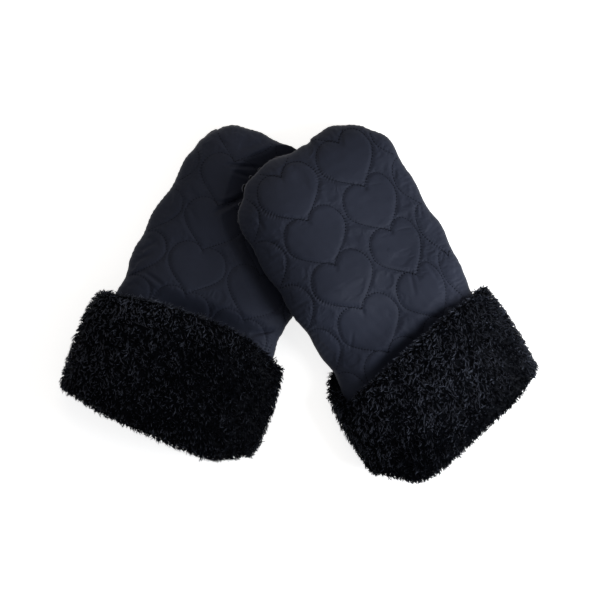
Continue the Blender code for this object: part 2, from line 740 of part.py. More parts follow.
def add_mitt(mitt, materials, collection):
    """One mitt: its panels in three layers, the slot's flap in three, the cuff in two, and the studs."""
    side = mitt.side
    frame = add_empty(f"{side}_mitt_frame", None, mitt.world, collection)
    hinge = hinge_matrix(mitt)
    flap_empty = add_empty(f"{side}_slot_hinge", frame, hinge, collection)
    layers = (
        ("shell", "shell", 0.0, FINE_STEP, RIM_STEP, mitt.front_face, mitt.front_shell_inside, True),
        ("wadding", "wadding", LAYER_INSET, COARSE_STEP, COARSE_RIM_STEP,
         mitt.front_wadding_top, mitt.front_wadding_bottom, False),
        ("lining", "lining", LAYER_INSET, COARSE_STEP, COARSE_RIM_STEP,
         mitt.front_lining_top, mitt.front_lining_bottom, False),
    )
    for layer, kind, inset, step, rim_step, top, bottom, quilted in layers:
        for flap, part in ((False, "front"), (True, "flap")):
            name = f"{side}_{part}_{layer}"
            mesh = panel_mesh(name, mitt, inset, step, rim_step, top, bottom, flap, quilted)
            thing = add_object(name, mesh, materials[kind], collection, flap_empty if flap else frame)
            if flap:
                thing.matrix_local = hinge.inverted()
    for layer, inset, rim_step, top, bottom in (
        ("shell", 0.0, RIM_STEP, mitt.back_shell_inside, mitt.back_face),
        ("wadding", LAYER_INSET, COARSE_RIM_STEP, mitt.back_wadding_top, mitt.back_wadding_bottom),
        ("lining", LAYER_INSET, COARSE_RIM_STEP, mitt.back_lining_top, mitt.back_lining_bottom),
    ):
        name = f"{side}_back_{layer}"
        mesh = panel_mesh(name, mitt, inset, COARSE_STEP, rim_step, top, bottom)
        add_object(name, mesh, materials[layer], collection, frame)
    fur = cuff_fur_mesh(mitt, f"{side}_cuff_fur")
    add_object(f"{side}_cuff_fur", fur, materials["fur"], collection, frame)
    sleeve = cuff_sleeve_mesh(mitt, f"{side}_cuff_sleeve")
    add_object(f"{side}_cuff_sleeve", sleeve, materials["shell"], collection, frame)
    add_snaps(mitt, frame, flap_empty, hinge, materials["metal"], collection)


def main():
    for thing in list(bpy.data.objects):
        bpy.data.objects.remove(thing)
    collection = bpy.data.collections.new("stroller_hand_muff")
    bpy.context.scene.collection.children.link(collection)
    materials = {
        "shell": shell_nylon(),
        "wadding": polyester_wadding(),
        "lining": fleece_lining(),
        "fur": curly_fur(),
        "metal": snap_metal(),
    }
    right = Mitt("right")
    left = Mitt("left", over=right)
    for mitt in (left, right):
        add_mitt(mitt, materials, collection)
    bpy.context.view_layer.update()


main()
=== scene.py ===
"""The looks of a pair of quilted hand mitts with fur cuffs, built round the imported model.

A mitt is worked out in its own frame, as its solids are: X runs across it, -Y from the finger end to
the cuff, Z up. Mitt.lie then presses or props it and puts it in its place in the pair. Metres.
"""

from math import radians, tau

import bpy
import numpy as np
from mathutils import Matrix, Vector
from mathutils.bvhtree import BVHTree


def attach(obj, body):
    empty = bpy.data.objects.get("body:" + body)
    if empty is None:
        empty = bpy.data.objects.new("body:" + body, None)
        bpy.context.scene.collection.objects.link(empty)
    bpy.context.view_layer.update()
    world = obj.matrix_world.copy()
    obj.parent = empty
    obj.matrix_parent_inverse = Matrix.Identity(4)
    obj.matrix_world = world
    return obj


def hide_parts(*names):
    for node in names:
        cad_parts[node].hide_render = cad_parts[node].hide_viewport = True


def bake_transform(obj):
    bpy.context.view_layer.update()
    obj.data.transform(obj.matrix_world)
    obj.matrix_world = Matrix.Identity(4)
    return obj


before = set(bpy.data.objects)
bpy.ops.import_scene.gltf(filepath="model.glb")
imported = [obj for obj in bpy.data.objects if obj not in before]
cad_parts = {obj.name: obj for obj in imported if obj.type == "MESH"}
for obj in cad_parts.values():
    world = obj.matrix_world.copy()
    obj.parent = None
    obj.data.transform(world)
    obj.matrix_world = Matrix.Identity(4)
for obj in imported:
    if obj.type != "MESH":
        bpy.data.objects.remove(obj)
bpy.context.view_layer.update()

# Pouch: the two quilted panels, as in the solids
POUCH_WIDTH = 0.154
SEAM_HEIGHT = 0.012
RIM_EDGE = 0.0012
CROWN_HEIGHT, CROWN_REACH = 0.0205, 0.055
UNDERSIDE_REACH = 0.023
LAYER_INSET, LAYER_GAP = 0.0080, 0.0005
LINING_THICKNESS = 0.0015
LIP_GAP, LIP_BAND = 0.0037, 0.020
CAVITY_RISE, CAVITY_REACH = 0.0085, 0.036
PAIR_OFFSET = (-0.0004, -0.0010)
PROP_HEIGHT, PROP_START, PROP_RUN, PROP_BEND = 0.031, 0.040, 0.117, 0.016
PROP_LENGTH, PROP_FADE = 0.124, 0.060
PRESS_CLEARANCE, PRESS_SLOPE, PRESS_LEAST_SHARE = 0.0065, 0.55, 0.38

# Cuff, as in the solids. A ring's shares are how far down the cuff it is, then its top, side and bottom.
SLEEVE_THICKNESS = 0.0030
SLEEVE_END_SHARE, SLEEVE_SLOT_SHARE = 0.70, 0.74
SLEEVE_SHARES = (0.0, 0.25, 0.5, SLEEVE_END_SHARE)
FUR_THICKNESS, FUR_UNDER, FUR_LINING = 0.0098, 0.0064, 0.0060
CUFF_SIDE, CUFF_GAP = 0.0155, 0.0004
CUFF_CORNER_POWER, NEAR_CORNER_POWER = 6, 3
CUFF_FACING_SHARE = 0.35
CUFF_RISE_LENGTH, CUFF_RISE_MARGIN = 0.050, 0.016
CUFF_OUTER_SHARES = (
    (0.03, -0.50, 0.06, 0.14), (-0.02, 0.55, 0.62, 0.80), (0.07, 0.96, 0.92, 1.0), (0.28, 1.10, 1.08, 1.0),
    (0.52, 1.14, 1.12, 1.0), (0.78, 1.10, 1.08, 1.0), (0.93, 0.90, 1.00, 1.0), (0.99, 0.45, 0.80, 0.7),
)
CUFF_INNER_SHARES = ((0.97, 0.8, 0.4, 0.8), (0.84, 1.0, 1.0, 1.0))
CUFF_ROLL_SIDE_SHARE = 0.40

# Heart quilting. Half a heart is two Bezier curves, in shares of its width and of the lattice's pitch.
# A seam counts for points up to SEAM_SEARCH outside its box. FAR stands for no seam or rim near by.
FAR = 0.05
HEART_WIDTH, HEART_PITCH = 0.061, 0.0455
HEART_COLUMNS, HEART_PARTS = range(-2, 3), 16
HEART_SHARES = (
    ((0.0, 0.0), (0.056, -0.26), (0.415, -0.32), (0.47, 0.24)),
    ((0.47, 0.24), (0.50, 0.54), (0.15, 0.78), (0.0, 0.985)),
)
SQUEEZE_REACH = 0.09
QUILT_DEPTH, QUILT_SOFTNESS, QUILT_MARGIN = 0.00038, 0.0026, 0.009
SEAM_DEPTH, SEAM_SOFTNESS, SEAM_SEARCH = 0.0005, 0.0012, 0.02
LADDER, LADDER_PITCH, LADDER_REACH = 0.00068, 0.0026, 0.0013
LADDER_MEAN, LADDER_CHANGE = 0.6, 0.5
SWELL, CRUMPLE = 0.0003, 0.00012
CREASE_RIDGE, CREASE_TAPER = 1.2, 0.7
TUCK_DEPTH, TUCK_LENGTH = 0.0094, 0.019
FUZZ, FINE_FUZZ = 0.00016, 0.00012

# Cloth: how it is sewn down, how far it may move, the scale it is simulated at, and its settings
SEAM_PIN, SEAM_PIN_RISE = 0.0013, 1.6
BILLOW_LIMIT, BILLOW_FRAMES, BILLOW_SCALE = 0.00034, 14, 10.0
CLOTH = {
    "quality": 5, "mass": 0.2, "tension_stiffness": 20, "compression_stiffness": 20, "shear_stiffness": 6,
    "bending_stiffness": 0.15, "tension_damping": 8, "compression_damping": 8, "shear_damping": 8,
    "use_pressure": True, "uniform_pressure_force": 0.25, "vertex_group_mass": "sewn", "shrink_min": -0.02,
}

# Stitches: capsules whose rings have a place, a radius and a lift, as shares of a stitch's own
STITCH_PITCH, STITCH_LENGTH, STITCH_START = 0.0027, 0.0016, 0.15
STITCH_RADIUS, STITCH_LIFT, STITCH_SIDES = 0.00036, 0.00004, 6
STITCH_PLACES = np.array([0.0, 0.18, 0.5, 0.82, 1.0])
STITCH_RADII = np.array([0.45, 0.95, 1.05, 0.95, 0.45])
STITCH_LIFTS = np.array([-2.5, 1.0, 2.2, 1.0, -2.5])
STITCH_RIM, STITCH_MOUTH = 0.0035, 0.002
RAY_TOP, RAY_BOTTOM = 0.3, -0.1

# Rim: drawn in where a seam meets it, with small waves whose phase wanders, and puckers beside it
RIM_PARTS = 12
SCALLOP, SCALLOP_LEVEL, SCALLOP_REACH, SCALLOP_FADE = 0.0022, 0.45, 0.014, 0.007
RIM_WAVE, RIM_WAVE_PITCH, RIM_WAVE_WANDER = 0.00022, 0.0048, 3.0
PUCKER, PUCKER_PITCH, PUCKER_WANDER = 0.00026, 0.0052, 2.2
PUCKER_START, PUCKER_FADE = 0.003, 0.007

# Hems along the slot's lip, with gaps between them where their slow wave is high
HEM_STATIONS, HEM_SIDES = 420, 8
HEM_RADIUS, HEM_THIN_SHARE = 0.00052, 0.3
HEM_OUT, HEM_FLAP_SHARE, HEM_GAP = 0.0006, 0.35, 0.0024
HEM_GAP_GAIN, HEM_GAP_LEVEL = 1.8, 0.3
HEM_WAVE, HEM_PITCH, HEM_WANDER = 0.0002, 0.0140, 2.5
HEM_WAVE_MEAN, HEM_WAVE_CHANGE = 0.6, 0.5
HEM_START, HEM_FADE, HEM_END_FADE = 0.028, 0.012, 0.008
# The lip's three tubes: name, look, height over the seam, width, and how the width goes with the wave
HEMS = (
    ("flap_hem", "hem", RIM_EDGE / 2, 1.0, 0.15), ("back_hem", "hem", -RIM_EDGE, 0.65, -0.1),
    ("lip_fleece", "fleece", -RIM_EDGE / 2, 1.3, 0.2),
)

# Grids: columns across and rows down a panel, stations round a cuff and parts to each of its pieces,
# and how much coarser the simulated cloth and the quilt's inner face are. The finger end's arc is the
# part of the rim above TIP_DEPTH.
FRONT_GRID, BACK_GRID, LINING_GRID = (252, 330), (110, 140), (76, 96)
COLUMN_CROWDING, ROW_CROWDING = 0.72, 0.08
TIP_DEPTH = 0.055
GROUND_GRID, PILE_GRID = (170, 5), (220, 7)
SLEEVE_STATIONS = 160
CLOTH_STEP, INNER_STEP = 2, 3

# Pile: clumps of curled strands over a lumpy ground, fewer of them inside the mouth. NUDGE gives a
# clump that doesn't lean a side to turn about.
CLUMPS, CLUMP_STRANDS, STRANDS_PER_PIECE = 13700, 3, 13700
MOUTH_SHARE, MOUTH_WEIGHT = 0.93, 0.35
CLUMP_RADIUS, CLUMP_SCATTER, CLUMP_LIMIT = 0.0005, 0.6, 1.3
STRAND_LENGTH, STRAND_RADIUS, STRAND_TAPER = 0.0050, 0.00031, 0.6
STRAND_RINGS, STRAND_SIDES = 3, 3
SPREAD, STRAND_SPREAD, CURL_SPREAD = (0.8, 1.2), (0.85, 1.15), (0.6, 1.3)
CURL_RADIUS, TWIST, TWIST_SCATTER = 0.0006, (3.0, 5.4), 0.25
NAP, LEAN_SLOW, LEAN_QUICK = 0.50, 0.45, 0.34
LEAN_REACH, LEAN_POWER = 0.9, 1.5
NUDGE = (1e-4, 2e-4, 3e-4)
SIDE_TILT = 0.3
# Places across the cuff, and along it past the pouch's end, where each mitt's pile gets painted light and
# shade: darker where it turns away from the key lamp or gets less light, lighter where it catches more
PAINTED_SHADE_ACROSS_PLACES = (-0.08, 0.0, 0.08)
PAINTED_SHADE_ALONG_PLACES = (-0.015, 0.005, 0.028, 0.045, 0.062)
CLUMP_TONE, STRAND_TONE, SLOW_TONE = 0.4, 0.38, 0.4
# Painted shade and highlight: a strand is dark at its root and light at its tip; the ground is near black,
# its own black and painted shade between the strands
ROOT_SHADE, TIP_HIGHLIGHT, GROUND_SHADE = -1.35, 2.5, -1.1
PARTING_CUT = 0.2
PILE_INSET, LUMP = 0.0032, 0.0011
FLOOR_CLEARANCE = 0.0002

# Random fields: how many plane waves make one, the spread of their frequencies, and the wavelength and
# the seed of each
WAVES, WAVE_SPREAD = 14, (0.7, 1.4)
RIPPLES = {
    "rim": (0.03, 19), "pucker": (0.03, 3), "ladder": (0.05, 23), "swell": (0.045, 5), "crumple": (0.011, 7),
    "fuzz": (0.0031, 11), "fine_fuzz": (0.0019, 13), "lump": (0.0085, 17), "tone_and_painted_shade": (0.024, 61),
    "lean_x": (0.009, 41), "lean_y": (0.009, 43), "lean_z": (0.009, 47),
    "hem": (0.028, 53), "gap": (0.03, 59),
}

# The rims, from the mouth's left end round the finger end, in shares of the pouch's width and length
RIM_SHARES = {
    "right": (
        (-0.49, 1.0), (-0.477, 0.80), (-0.491, 0.59), (-0.50, 0.43), (-0.50, 0.27), (-0.48, 0.148),
        (-0.40, 0.072), (-0.29, 0.018), (-0.16, 0.003), (0.0, 0.010), (0.095, 0.013), (0.122, 0.0),
        (0.17, 0.001), (0.29, 0.009), (0.394, 0.047), (0.470, 0.108), (0.515, 0.190), (0.503, 0.35),
        (0.499, 0.62), (0.462, 0.80), (0.47, 1.0),
    ),
    "left": (
        (-0.51, 1.0), (-0.497, 0.86), (-0.490, 0.68), (-0.474, 0.545), (-0.434, 0.41), (-0.404, 0.28),
        (-0.370, 0.158), (-0.304, 0.068), (-0.216, 0.025), (-0.10, 0.011), (0.03, 0.009), (0.17, 0.022),
        (0.286, 0.040), (0.38, 0.081), (0.45, 0.135), (0.497, 0.20), (0.52, 0.315), (0.526, 0.45),
        (0.522, 0.585), (0.502, 0.73), (0.475, 0.86), (0.49, 1.0),
    ),
}
# Each mitt's place, slot, heart lattice and cuff, then how strong its lip and relief are and its pile's seed,
# painted light and shade across and along the cuff, and nap. Pairs of corners and sides are the left one and
# the right one.
MITTS = {
    "right": {
        "turn": radians(31.5), "tip": (-0.00675, 0.1389), "length": 0.230,
        "slot_shares": ((-0.52, 0.300), (0.03, -0.010)),
        "heart_scale": 1.0, "heart_column": -0.0220, "heart_row": 0.0182, "lobe": 0.92,
        "squeeze": (0.010, 0.9, 19.0), "bow": 0.0,
        "over_front": 0.0245, "front_slope": -0.178, "over_back": 0.0395, "back_slope": 0.0,
        "reach": 0.0772, "end_slope": -0.19, "shift": -0.0020,
        "corners": (0.036, 0.007), "near_corners": (0.0, 0.0046), "side_shares": (0.88, 1.0),
        "lip": 1.0, "relief": 1.0, "seed": 29,
        "painted_shade_across": (-0.75, 0.1, -0.05), "painted_shade_along": (0.0, 0.15, 0.2, -0.1, -1.1), "nap": (-0.22, -0.97),
    },
    "left": {
        "turn": radians(-20.0), "tip": (-0.0289, 0.1528), "length": 0.200,
        "slot_shares": ((-0.45, 0.365), (-0.045, -0.012)),
        "heart_scale": 0.92, "heart_column": -0.0185, "heart_row": 0.0346, "lobe": 0.66,
        "squeeze": (0.1, 0.0, 0.0), "bow": 1.3,
        "over_front": 0.0255, "front_slope": -0.003, "over_back": 0.0210, "back_slope": 0.02,
        "reach": 0.0895, "end_slope": 0.06, "shift": -0.0040,
        "corners": (0.006, 0.018), "near_corners": (0.008, 0.016), "side_shares": (1.0, 1.08),
        "lip": 0.3, "relief": 0.72, "seed": 31,
        "painted_shade_across": (-0.2, -0.95, -1.5), "painted_shade_along": (0.9, 0.0, 0.1, 0.15, 0.0), "nap": (0.50, -0.85),
    },
}

# Creases in photograph pixels: one end, the other end, their depth and their half-width in metres
PIXEL = 0.0009
PHOTO_CENTRE = (300.0, 303.5)
CREASE_PIXELS = {
    "right": (
        ((341, 127), (342, 147), 0.0007, 0.0020), ((396, 162), (394, 181), 0.0009, 0.0022),
        ((420, 203), (421, 219), 0.0009, 0.0022), ((443, 247), (440, 263), 0.0007, 0.0022),
        ((386, 250), (397, 256), -0.0005, 0.0025), ((296, 306), (309, 301), 0.0006, 0.0022),
        ((268, 245), (280, 241), 0.0006, 0.0020), ((330, 365), (345, 372), 0.0008, 0.0025),
        ((352, 330), (350, 352), 0.0005, 0.0022), ((256, 215), (266, 232), 0.0007, 0.0025),
        ((408, 270), (414, 296), 0.0006, 0.0025), ((424, 262), (440, 285), 0.0007, 0.0025),
        ((330, 128), (338, 144), 0.0004, 0.0025), ((262, 262), (282, 252), 0.0006, 0.0025),
    ),
    "left": (
        ((226, 166), (262, 169), 0.0030, 0.0026), ((214, 215), (252, 192), 0.0046, 0.0036),
        ((218, 204), (247, 200), 0.0026, 0.0026), ((250, 334), (284, 328), 0.0034, 0.0030),
        ((143, 270), (165, 285), 0.0022, 0.0030), ((135, 263), (155, 253), 0.0018, 0.0028),
        ((141, 252), (159, 241), 0.0015, 0.0026), ((130, 277), (151, 268), 0.0017, 0.0026),
        ((240, 150), (266, 144), 0.0014, 0.0036), ((126, 288), (141, 282), 0.0009, 0.0026),
        ((213, 136), (233, 150), 0.0007, 0.0030), ((262, 252), (248, 236), 0.0012, 0.0034),
        ((232, 172), (258, 181), 0.0024, 0.0026), ((186, 200), (200, 226), 0.0006, 0.0032),
    ),
}
# Partings of the pile in photograph pixels: both ends, how much painted shade darkens them, half-width in
# metres
PARTING_PIXELS = {
    "right": (
        ((497, 343), (514, 382), 1.3, 0.0050), ((514, 384), (474, 434), 1.0, 0.0070),
        ((402, 404), (396, 440), 0.5, 0.0080),
    ),
    "left": (((92, 395), (150, 418), 0.5, 0.0090),),
}

# Plain finishes: hem nylon with a coarse twill, paler than the shell as a painted highlight along the lip;
# short fleece; twisted thread, darker than the shell partly as painted shade of its stitch holes; and
# scratched nickel.
# Each has a dark and a light display colour, its grain's noise, its relief's noise, strength and depth,
# and its gloss. A noise is its scale, detail and roughness.
GRAINED = {
    # Painted highlight: the hem's colours are paler than the shell's, standing for the light its turned edge
    # catches
    "hem_nylon_painted_highlight": ((58, 62, 74), (104, 108, 122), (380.0,), (1400.0, 2.0), 0.5, 0.0003, {"Roughness": 0.5}),
    "lining_fleece": (
        (8, 9, 12), (24, 25, 29), (420.0, 4.0, 0.65), (900.0, 3.0, 0.7), 0.8, 0.0008,
        {"Roughness": 0.95, "Specular_IOR_Level": 0.08, "Sheen_Weight": 0.03},
    ),
    # Partly painted shade: the thread is darker than the shell, standing for the shadow in its stitch holes
    "seam_thread_painted_shade": (
        (14, 16, 23), (26, 29, 38), (700.0,), (3000.0,), 0.5, 0.0002,
        {"Roughness": 0.7, "Specular_IOR_Level": 0.06},
    ),
    "snap_nickel": (
        (96, 98, 104), (142, 144, 150), (260.0, 4.0), (1800.0, 2.0), 0.25, 0.0001,
        {"Metallic": 1.0, "Roughness": 0.36},
    ),
}

# Stage: the floor and its glow, the lamps' places, sizes, powers and colours, the world, and the camera
FLOOR_HALF, FLOOR_DROP, FLOOR_GLOW = 3.0, 0.0003, 0.78
LAMPS = {
    "key": ((0.56, -0.12, 0.29), 0.50, 4.7, (0.95, 0.975, 1.0)),
    "fill": ((-0.16, 0.55, 0.50), 0.5, 0.66, (1.0, 0.84, 0.62)),
}
WORLD_COLOUR, WORLD_STRENGTH = (0.98, 0.985, 1.0, 1), 0.255
VIEW_HEIGHT, VIEW_WIDTH, VIEW_MIDDLE = 2.8, 0.54, 0.00315


def ease(share):
    """A smooth step from 0 to 1: 3s^2 - 2s^3."""
    share = np.clip(share, 0.0, 1.0)
    return share * share * (3 - 2 * share)


def swell(distance, reach):
    """A quarter ellipse: 0 and upright at the rim, 1 and level at the reach."""
    return np.sqrt(1 - (1 - np.clip(distance / reach, 0.0, 1.0)) ** 2)


def unit(vectors):
    return vectors / np.maximum(np.linalg.norm(vectors, axis=-1, keepdims=True), 1e-12)


def turned_right(vectors):
    """Vectors in plan turned a quarter to the right: (x, y) becomes (y, -x)."""
    return np.column_stack([vectors[:, 1], -vectors[:, 0]])


def spline(points, parts):
    """An open Catmull-Rom curve through points of any shape, with that many parts to each piece."""
    padded = np.concatenate([[2 * points[0] - points[1]], points, [2 * points[-1] - points[-2]]])
    a, b, c, d = padded[:-3], padded[1:-2], padded[2:-1], padded[3:]
    s = (np.arange(parts) / parts).reshape(1, -1, *[1] * (points.ndim - 1))
    a, b, c, d = a[:, None], b[:, None], c[:, None], d[:, None]
    run = 0.5 * (2 * b + (c - a) * s + (2 * a - 5 * b + 4 * c - d) * s**2 + (3 * b - a - 3 * c + d) * s**3)
    return np.concatenate([run.reshape(-1, *points.shape[1:]), points[-1:]])


def run_along(line):
    """How far along a line each of its points lies."""
    return np.concatenate([[0], np.cumsum(np.linalg.norm(np.diff(line, axis=0), axis=1))])


def read_along(places, run, values):
    """Vectors given at each point of a line's run, read at places between them."""
    return np.column_stack([np.interp(places, run, values[:, k]) for k in range(values.shape[1])])


def along_line(line, shares):
    """Points at shares of a line's length."""
    run = run_along(line)
    return read_along(shares * run[-1], run, line)


def line_length(line):
    return float(np.linalg.norm(np.diff(line, axis=0), axis=1).sum())


def nearest_on_line(points, line):
    """Each point's distance to a line, and how far along the line that nearest place lies."""
    best, where, run = np.full(len(points), np.inf), np.zeros(len(points)), 0.0
    for start, step in zip(line[:-1], np.diff(line, axis=0)):
        length = float(np.hypot(*step))
        off = points - start
        share = np.clip(off @ step / length**2, 0, 1)
        distance = np.linalg.norm(off - share[:, None] * step, axis=1)
        closer = distance < best
        best = np.where(closer, distance, best)
        where = np.where(closer, run + share * length, where)
        run += length
    return best, where


def inside_loop(points, loop):
    """Which points a loop surrounds: a level ray to the right crosses it an odd number of times."""
    x, y = points[:, :1], points[:, 1:]
    (x0, y0), (x1, y1) = loop.T, np.roll(loop, -1, axis=0).T
    crosses = (y0 > y) != (y1 > y)
    return (crosses & (x < x0 + (x1 - x0) * (y - y0) / np.where(y1 == y0, 1, y1 - y0))).sum(1) % 2 == 1


def ripple(points, name):
    """A smooth random field about as high as 1: a sum of plane waves with random directions and phases."""
    wavelength, seed = RIPPLES[name]
    rng = np.random.default_rng(seed)
    towards = unit(rng.normal(size=(WAVES, points.shape[1])))
    size = rng.uniform(*WAVE_SPREAD, WAVES)
    phase = rng.uniform(0, tau, WAVES)
    waves = np.sin(points @ (towards * size[:, None]).T * tau / wavelength + phase)
    return waves.sum(1) * np.sqrt(2 / WAVES) / 2


def wandering_wave(run, pitch, wander, points, name):
    """A sine wave along a run, its phase moved by up to about wander radians by a ripple."""
    return np.sin(run * tau / pitch + wander * ripple(points, name))


class Mitt:
    """One mitt's plan curves and heights."""

    def __init__(self, side, over=None):
        self.side, self.sizes, self.over = side, MITTS[side], over
        self.length = self.sizes["length"]
        turn = self.sizes["turn"]
        self.turn = np.array([[np.cos(turn), -np.sin(turn)], [np.sin(turn), np.cos(turn)]])
        self.tip = np.array(self.sizes["tip"]) + PAIR_OFFSET
        self.hearts = self.heart_lines()
        self.slot = np.array(self.sizes["slot_shares"]) * (POUCH_WIDTH, -self.length)
        self.slot_across = turned_right(unit(np.diff(self.slot, axis=0)))[0]
        self.rim = spline(np.array(RIM_SHARES[side]) * (POUCH_WIDTH, -self.length), RIM_PARTS)
        self.rim_run = run_along(self.rim)
        self.rim_inward = turned_right(unit(np.gradient(self.rim, axis=0)))
        seam = self.nearest_seam(self.rim)[0]
        wave = wandering_wave(self.rim_run, RIM_WAVE_PITCH, RIM_WAVE_WANDER, self.rim, "rim")
        self.rim_push = SCALLOP * (ease(seam / SCALLOP_REACH) - SCALLOP_LEVEL) + RIM_WAVE * wave

    def heart_lines(self):
        """Half hearts on a lattice of columns and rows; a half heart is two Bezier curves, notch to tip.

        To the right of a start x0 the lattice is squeezed by (a - b y) (x - x0)^2, and it is bowed down
        by its bow times the square of the distance from its middle column.
        """
        scale, middle = self.sizes["heart_scale"], self.sizes["heart_column"]
        width, pitch = HEART_WIDTH * scale, HEART_PITCH * scale
        share = (np.arange(HEART_PARTS + 1) / HEART_PARTS)[:, None]
        curves = []
        for control in HEART_SHARES:
            a, b, c, d = np.array([(u, v * self.sizes["lobe"] if v < 0 else v) for u, v in control])
            curves.append(a * (1 - share) ** 3 + 3 * b * share * (1 - share) ** 2
                          + 3 * c * share**2 * (1 - share) + d * share**3)
        half = np.vstack([curves[0], curves[1][1:]])
        first = self.sizes["heart_row"] % pitch
        start, amount, growth = self.sizes["squeeze"]
        lines = []
        for column in HEART_COLUMNS:
            for row in range(-1, int(self.length / pitch) + 2):
                for hand in (-1, 1):
                    notch = np.array((middle + column * width, -(first + row * pitch)))
                    line = notch + half * (hand * width, -pitch)
                    past = np.clip(line[:, 0] - start, 0, SQUEEZE_REACH)
                    line[:, 0] -= np.maximum(amount - growth * line[:, 1], 0) * past**2
                    line[:, 1] -= self.sizes["bow"] * (line[:, 0] - middle) ** 2
                    lines.append(line)
        return lines

    def nearest_seam(self, points):
        """Distance to the nearest quilting seam, and the place along it; the seams follow one another."""
        best, run, before = np.full(len(points), FAR), np.zeros(len(points)), 0.0
        for line in self.hearts:
            low, high = line.min(0) - SEAM_SEARCH, line.max(0) + SEAM_SEARCH
            near = np.flatnonzero(np.all((points > low) & (points < high), axis=1))
            if len(near):
                distance, along = nearest_on_line(points[near], line)
                closer = distance < best[near]
                best[near[closer]] = distance[closer]
                run[near[closer]] = before + along[closer]
            before += line_length(line)
        return best, run

    def shape_rim(self, plan, rim, run):
        """Plan points near the rim moved outwards with it, less and less further in."""
        push = np.interp(run, self.rim_run, self.rim_push) * np.exp(-rim / SCALLOP_FADE)
        return plan - read_along(run, self.rim_run, self.rim_inward) * push[:, None]

    def photo_line(self, start, end):
        """A line between two photograph pixels, in the mitt's frame."""
        line = (np.array([start, end]) - PHOTO_CENTRE) * (PIXEL, -PIXEL)
        return (line - self.tip) @ self.turn

    def creases(self, plan):
        """Depth of the creases: (1 - 1.2 q) exp(-q) across each, where q is (distance / width) squared."""
        depth = np.zeros(len(plan))
        for start, end, deepest, breadth in CREASE_PIXELS[self.side]:
            line = self.photo_line(start, end)
            distance, along = nearest_on_line(plan, line)
            q = (distance / breadth) ** 2
            middle = np.sin(np.pi * np.clip(along / line_length(line), 0, 1)) ** CREASE_TAPER
            depth += deepest * (1 - CREASE_RIDGE * q) * np.exp(-q) * middle
        return depth

    def rise(self, points):
        """How far a panel rises towards the mouth, where the cuff's fur lies under it."""
        start = self.length - self.sizes["over_back"] - CUFF_RISE_MARGIN - CUFF_RISE_LENGTH
        return FUR_UNDER * ease((-points[:, 1] - start) / CUFF_RISE_LENGTH)

    def crown(self, points, rim):
        """The front's height: seam level, plus a quarter ellipse of the distance from the rim."""
        return SEAM_HEIGHT + self.rise(points) + RIM_EDGE + CROWN_HEIGHT * swell(rim, CROWN_REACH)

    def tuck(self, points):
        """How far the front sinks where it goes under the cuff."""
        near = self.length - self.sizes["over_front"] + self.sizes["front_slope"] * points[:, 0]
        return TUCK_DEPTH * ease((-points[:, 1] - near + TUCK_LENGTH) / TUCK_LENGTH)

    def underside(self, points, rim):
        """The back's height: flat on the floor, curving up to the seam at the rim."""
        return (SEAM_HEIGHT - RIM_EDGE) * (1 - swell(rim, UNDERSIDE_REACH)) + self.rise(points)

    def lining_under(self, points, rim):
        """The front lining's lower face."""
        hollow = CAVITY_RISE * ease((rim - LIP_BAND) / CAVITY_REACH)
        return SEAM_HEIGHT + self.rise(points) + LIP_GAP / 2 + hollow

    def back_lining_under(self, points):
        """The back lining's lower face."""
        return SEAM_HEIGHT + self.rise(points) - LIP_GAP / 2 - LINING_THICKNESS

    def prop(self, points):
        """How far the right mitt is held up where it crosses the left one."""
        if self.side != "right":
            return np.zeros(len(points))
        past = PROP_START - points[:, 0]
        bend = np.clip(past + PROP_BEND, 0.0, None) ** 2 / (4 * PROP_BEND)
        share = np.minimum(np.where(past < PROP_BEND, bend, past) / PROP_RUN, 1.0)
        return PROP_HEIGHT * share * (2 - share) * (1 - ease((-points[:, 1] - PROP_LENGTH) / PROP_FADE))

    def press(self, points, rim):
        """How far the left mitt is flattened under the right one, as a share of its height."""
        if self.over is None:
            return np.ones(len(points))
        over = self.over
        moved = (points @ self.turn.T + self.tip - over.tip) @ over.turn
        beside = PRESS_SLOPE * nearest_on_line(moved, over.rim)[0]
        beside = np.where(inside_loop(moved, over.rim), 0.0, beside)
        room = over.prop(moved) + over.rise(moved) + beside - PRESS_CLEARANCE
        return np.clip(room / self.crown(points, rim), PRESS_LEAST_SHARE, 1.0)

    def place(self, vertices):
        """Vertices turned and moved to the mitt's place in the pair, at their own heights."""
        return np.column_stack([vertices[:, :2] @ self.turn.T + self.tip, vertices[:, 2]])

    def lie(self, vertices, rim=None):
        """Vertices as the mitt lies in the pair: heights times press plus prop, turned and moved."""
        plan = vertices[:, :2]
        if self.over is not None and rim is None:
            rim = nearest_on_line(plan, self.rim)[0]
        heights = vertices[:, 2] * self.press(plan, rim) + self.prop(plan)
        return self.place(np.column_stack([plan, heights]))

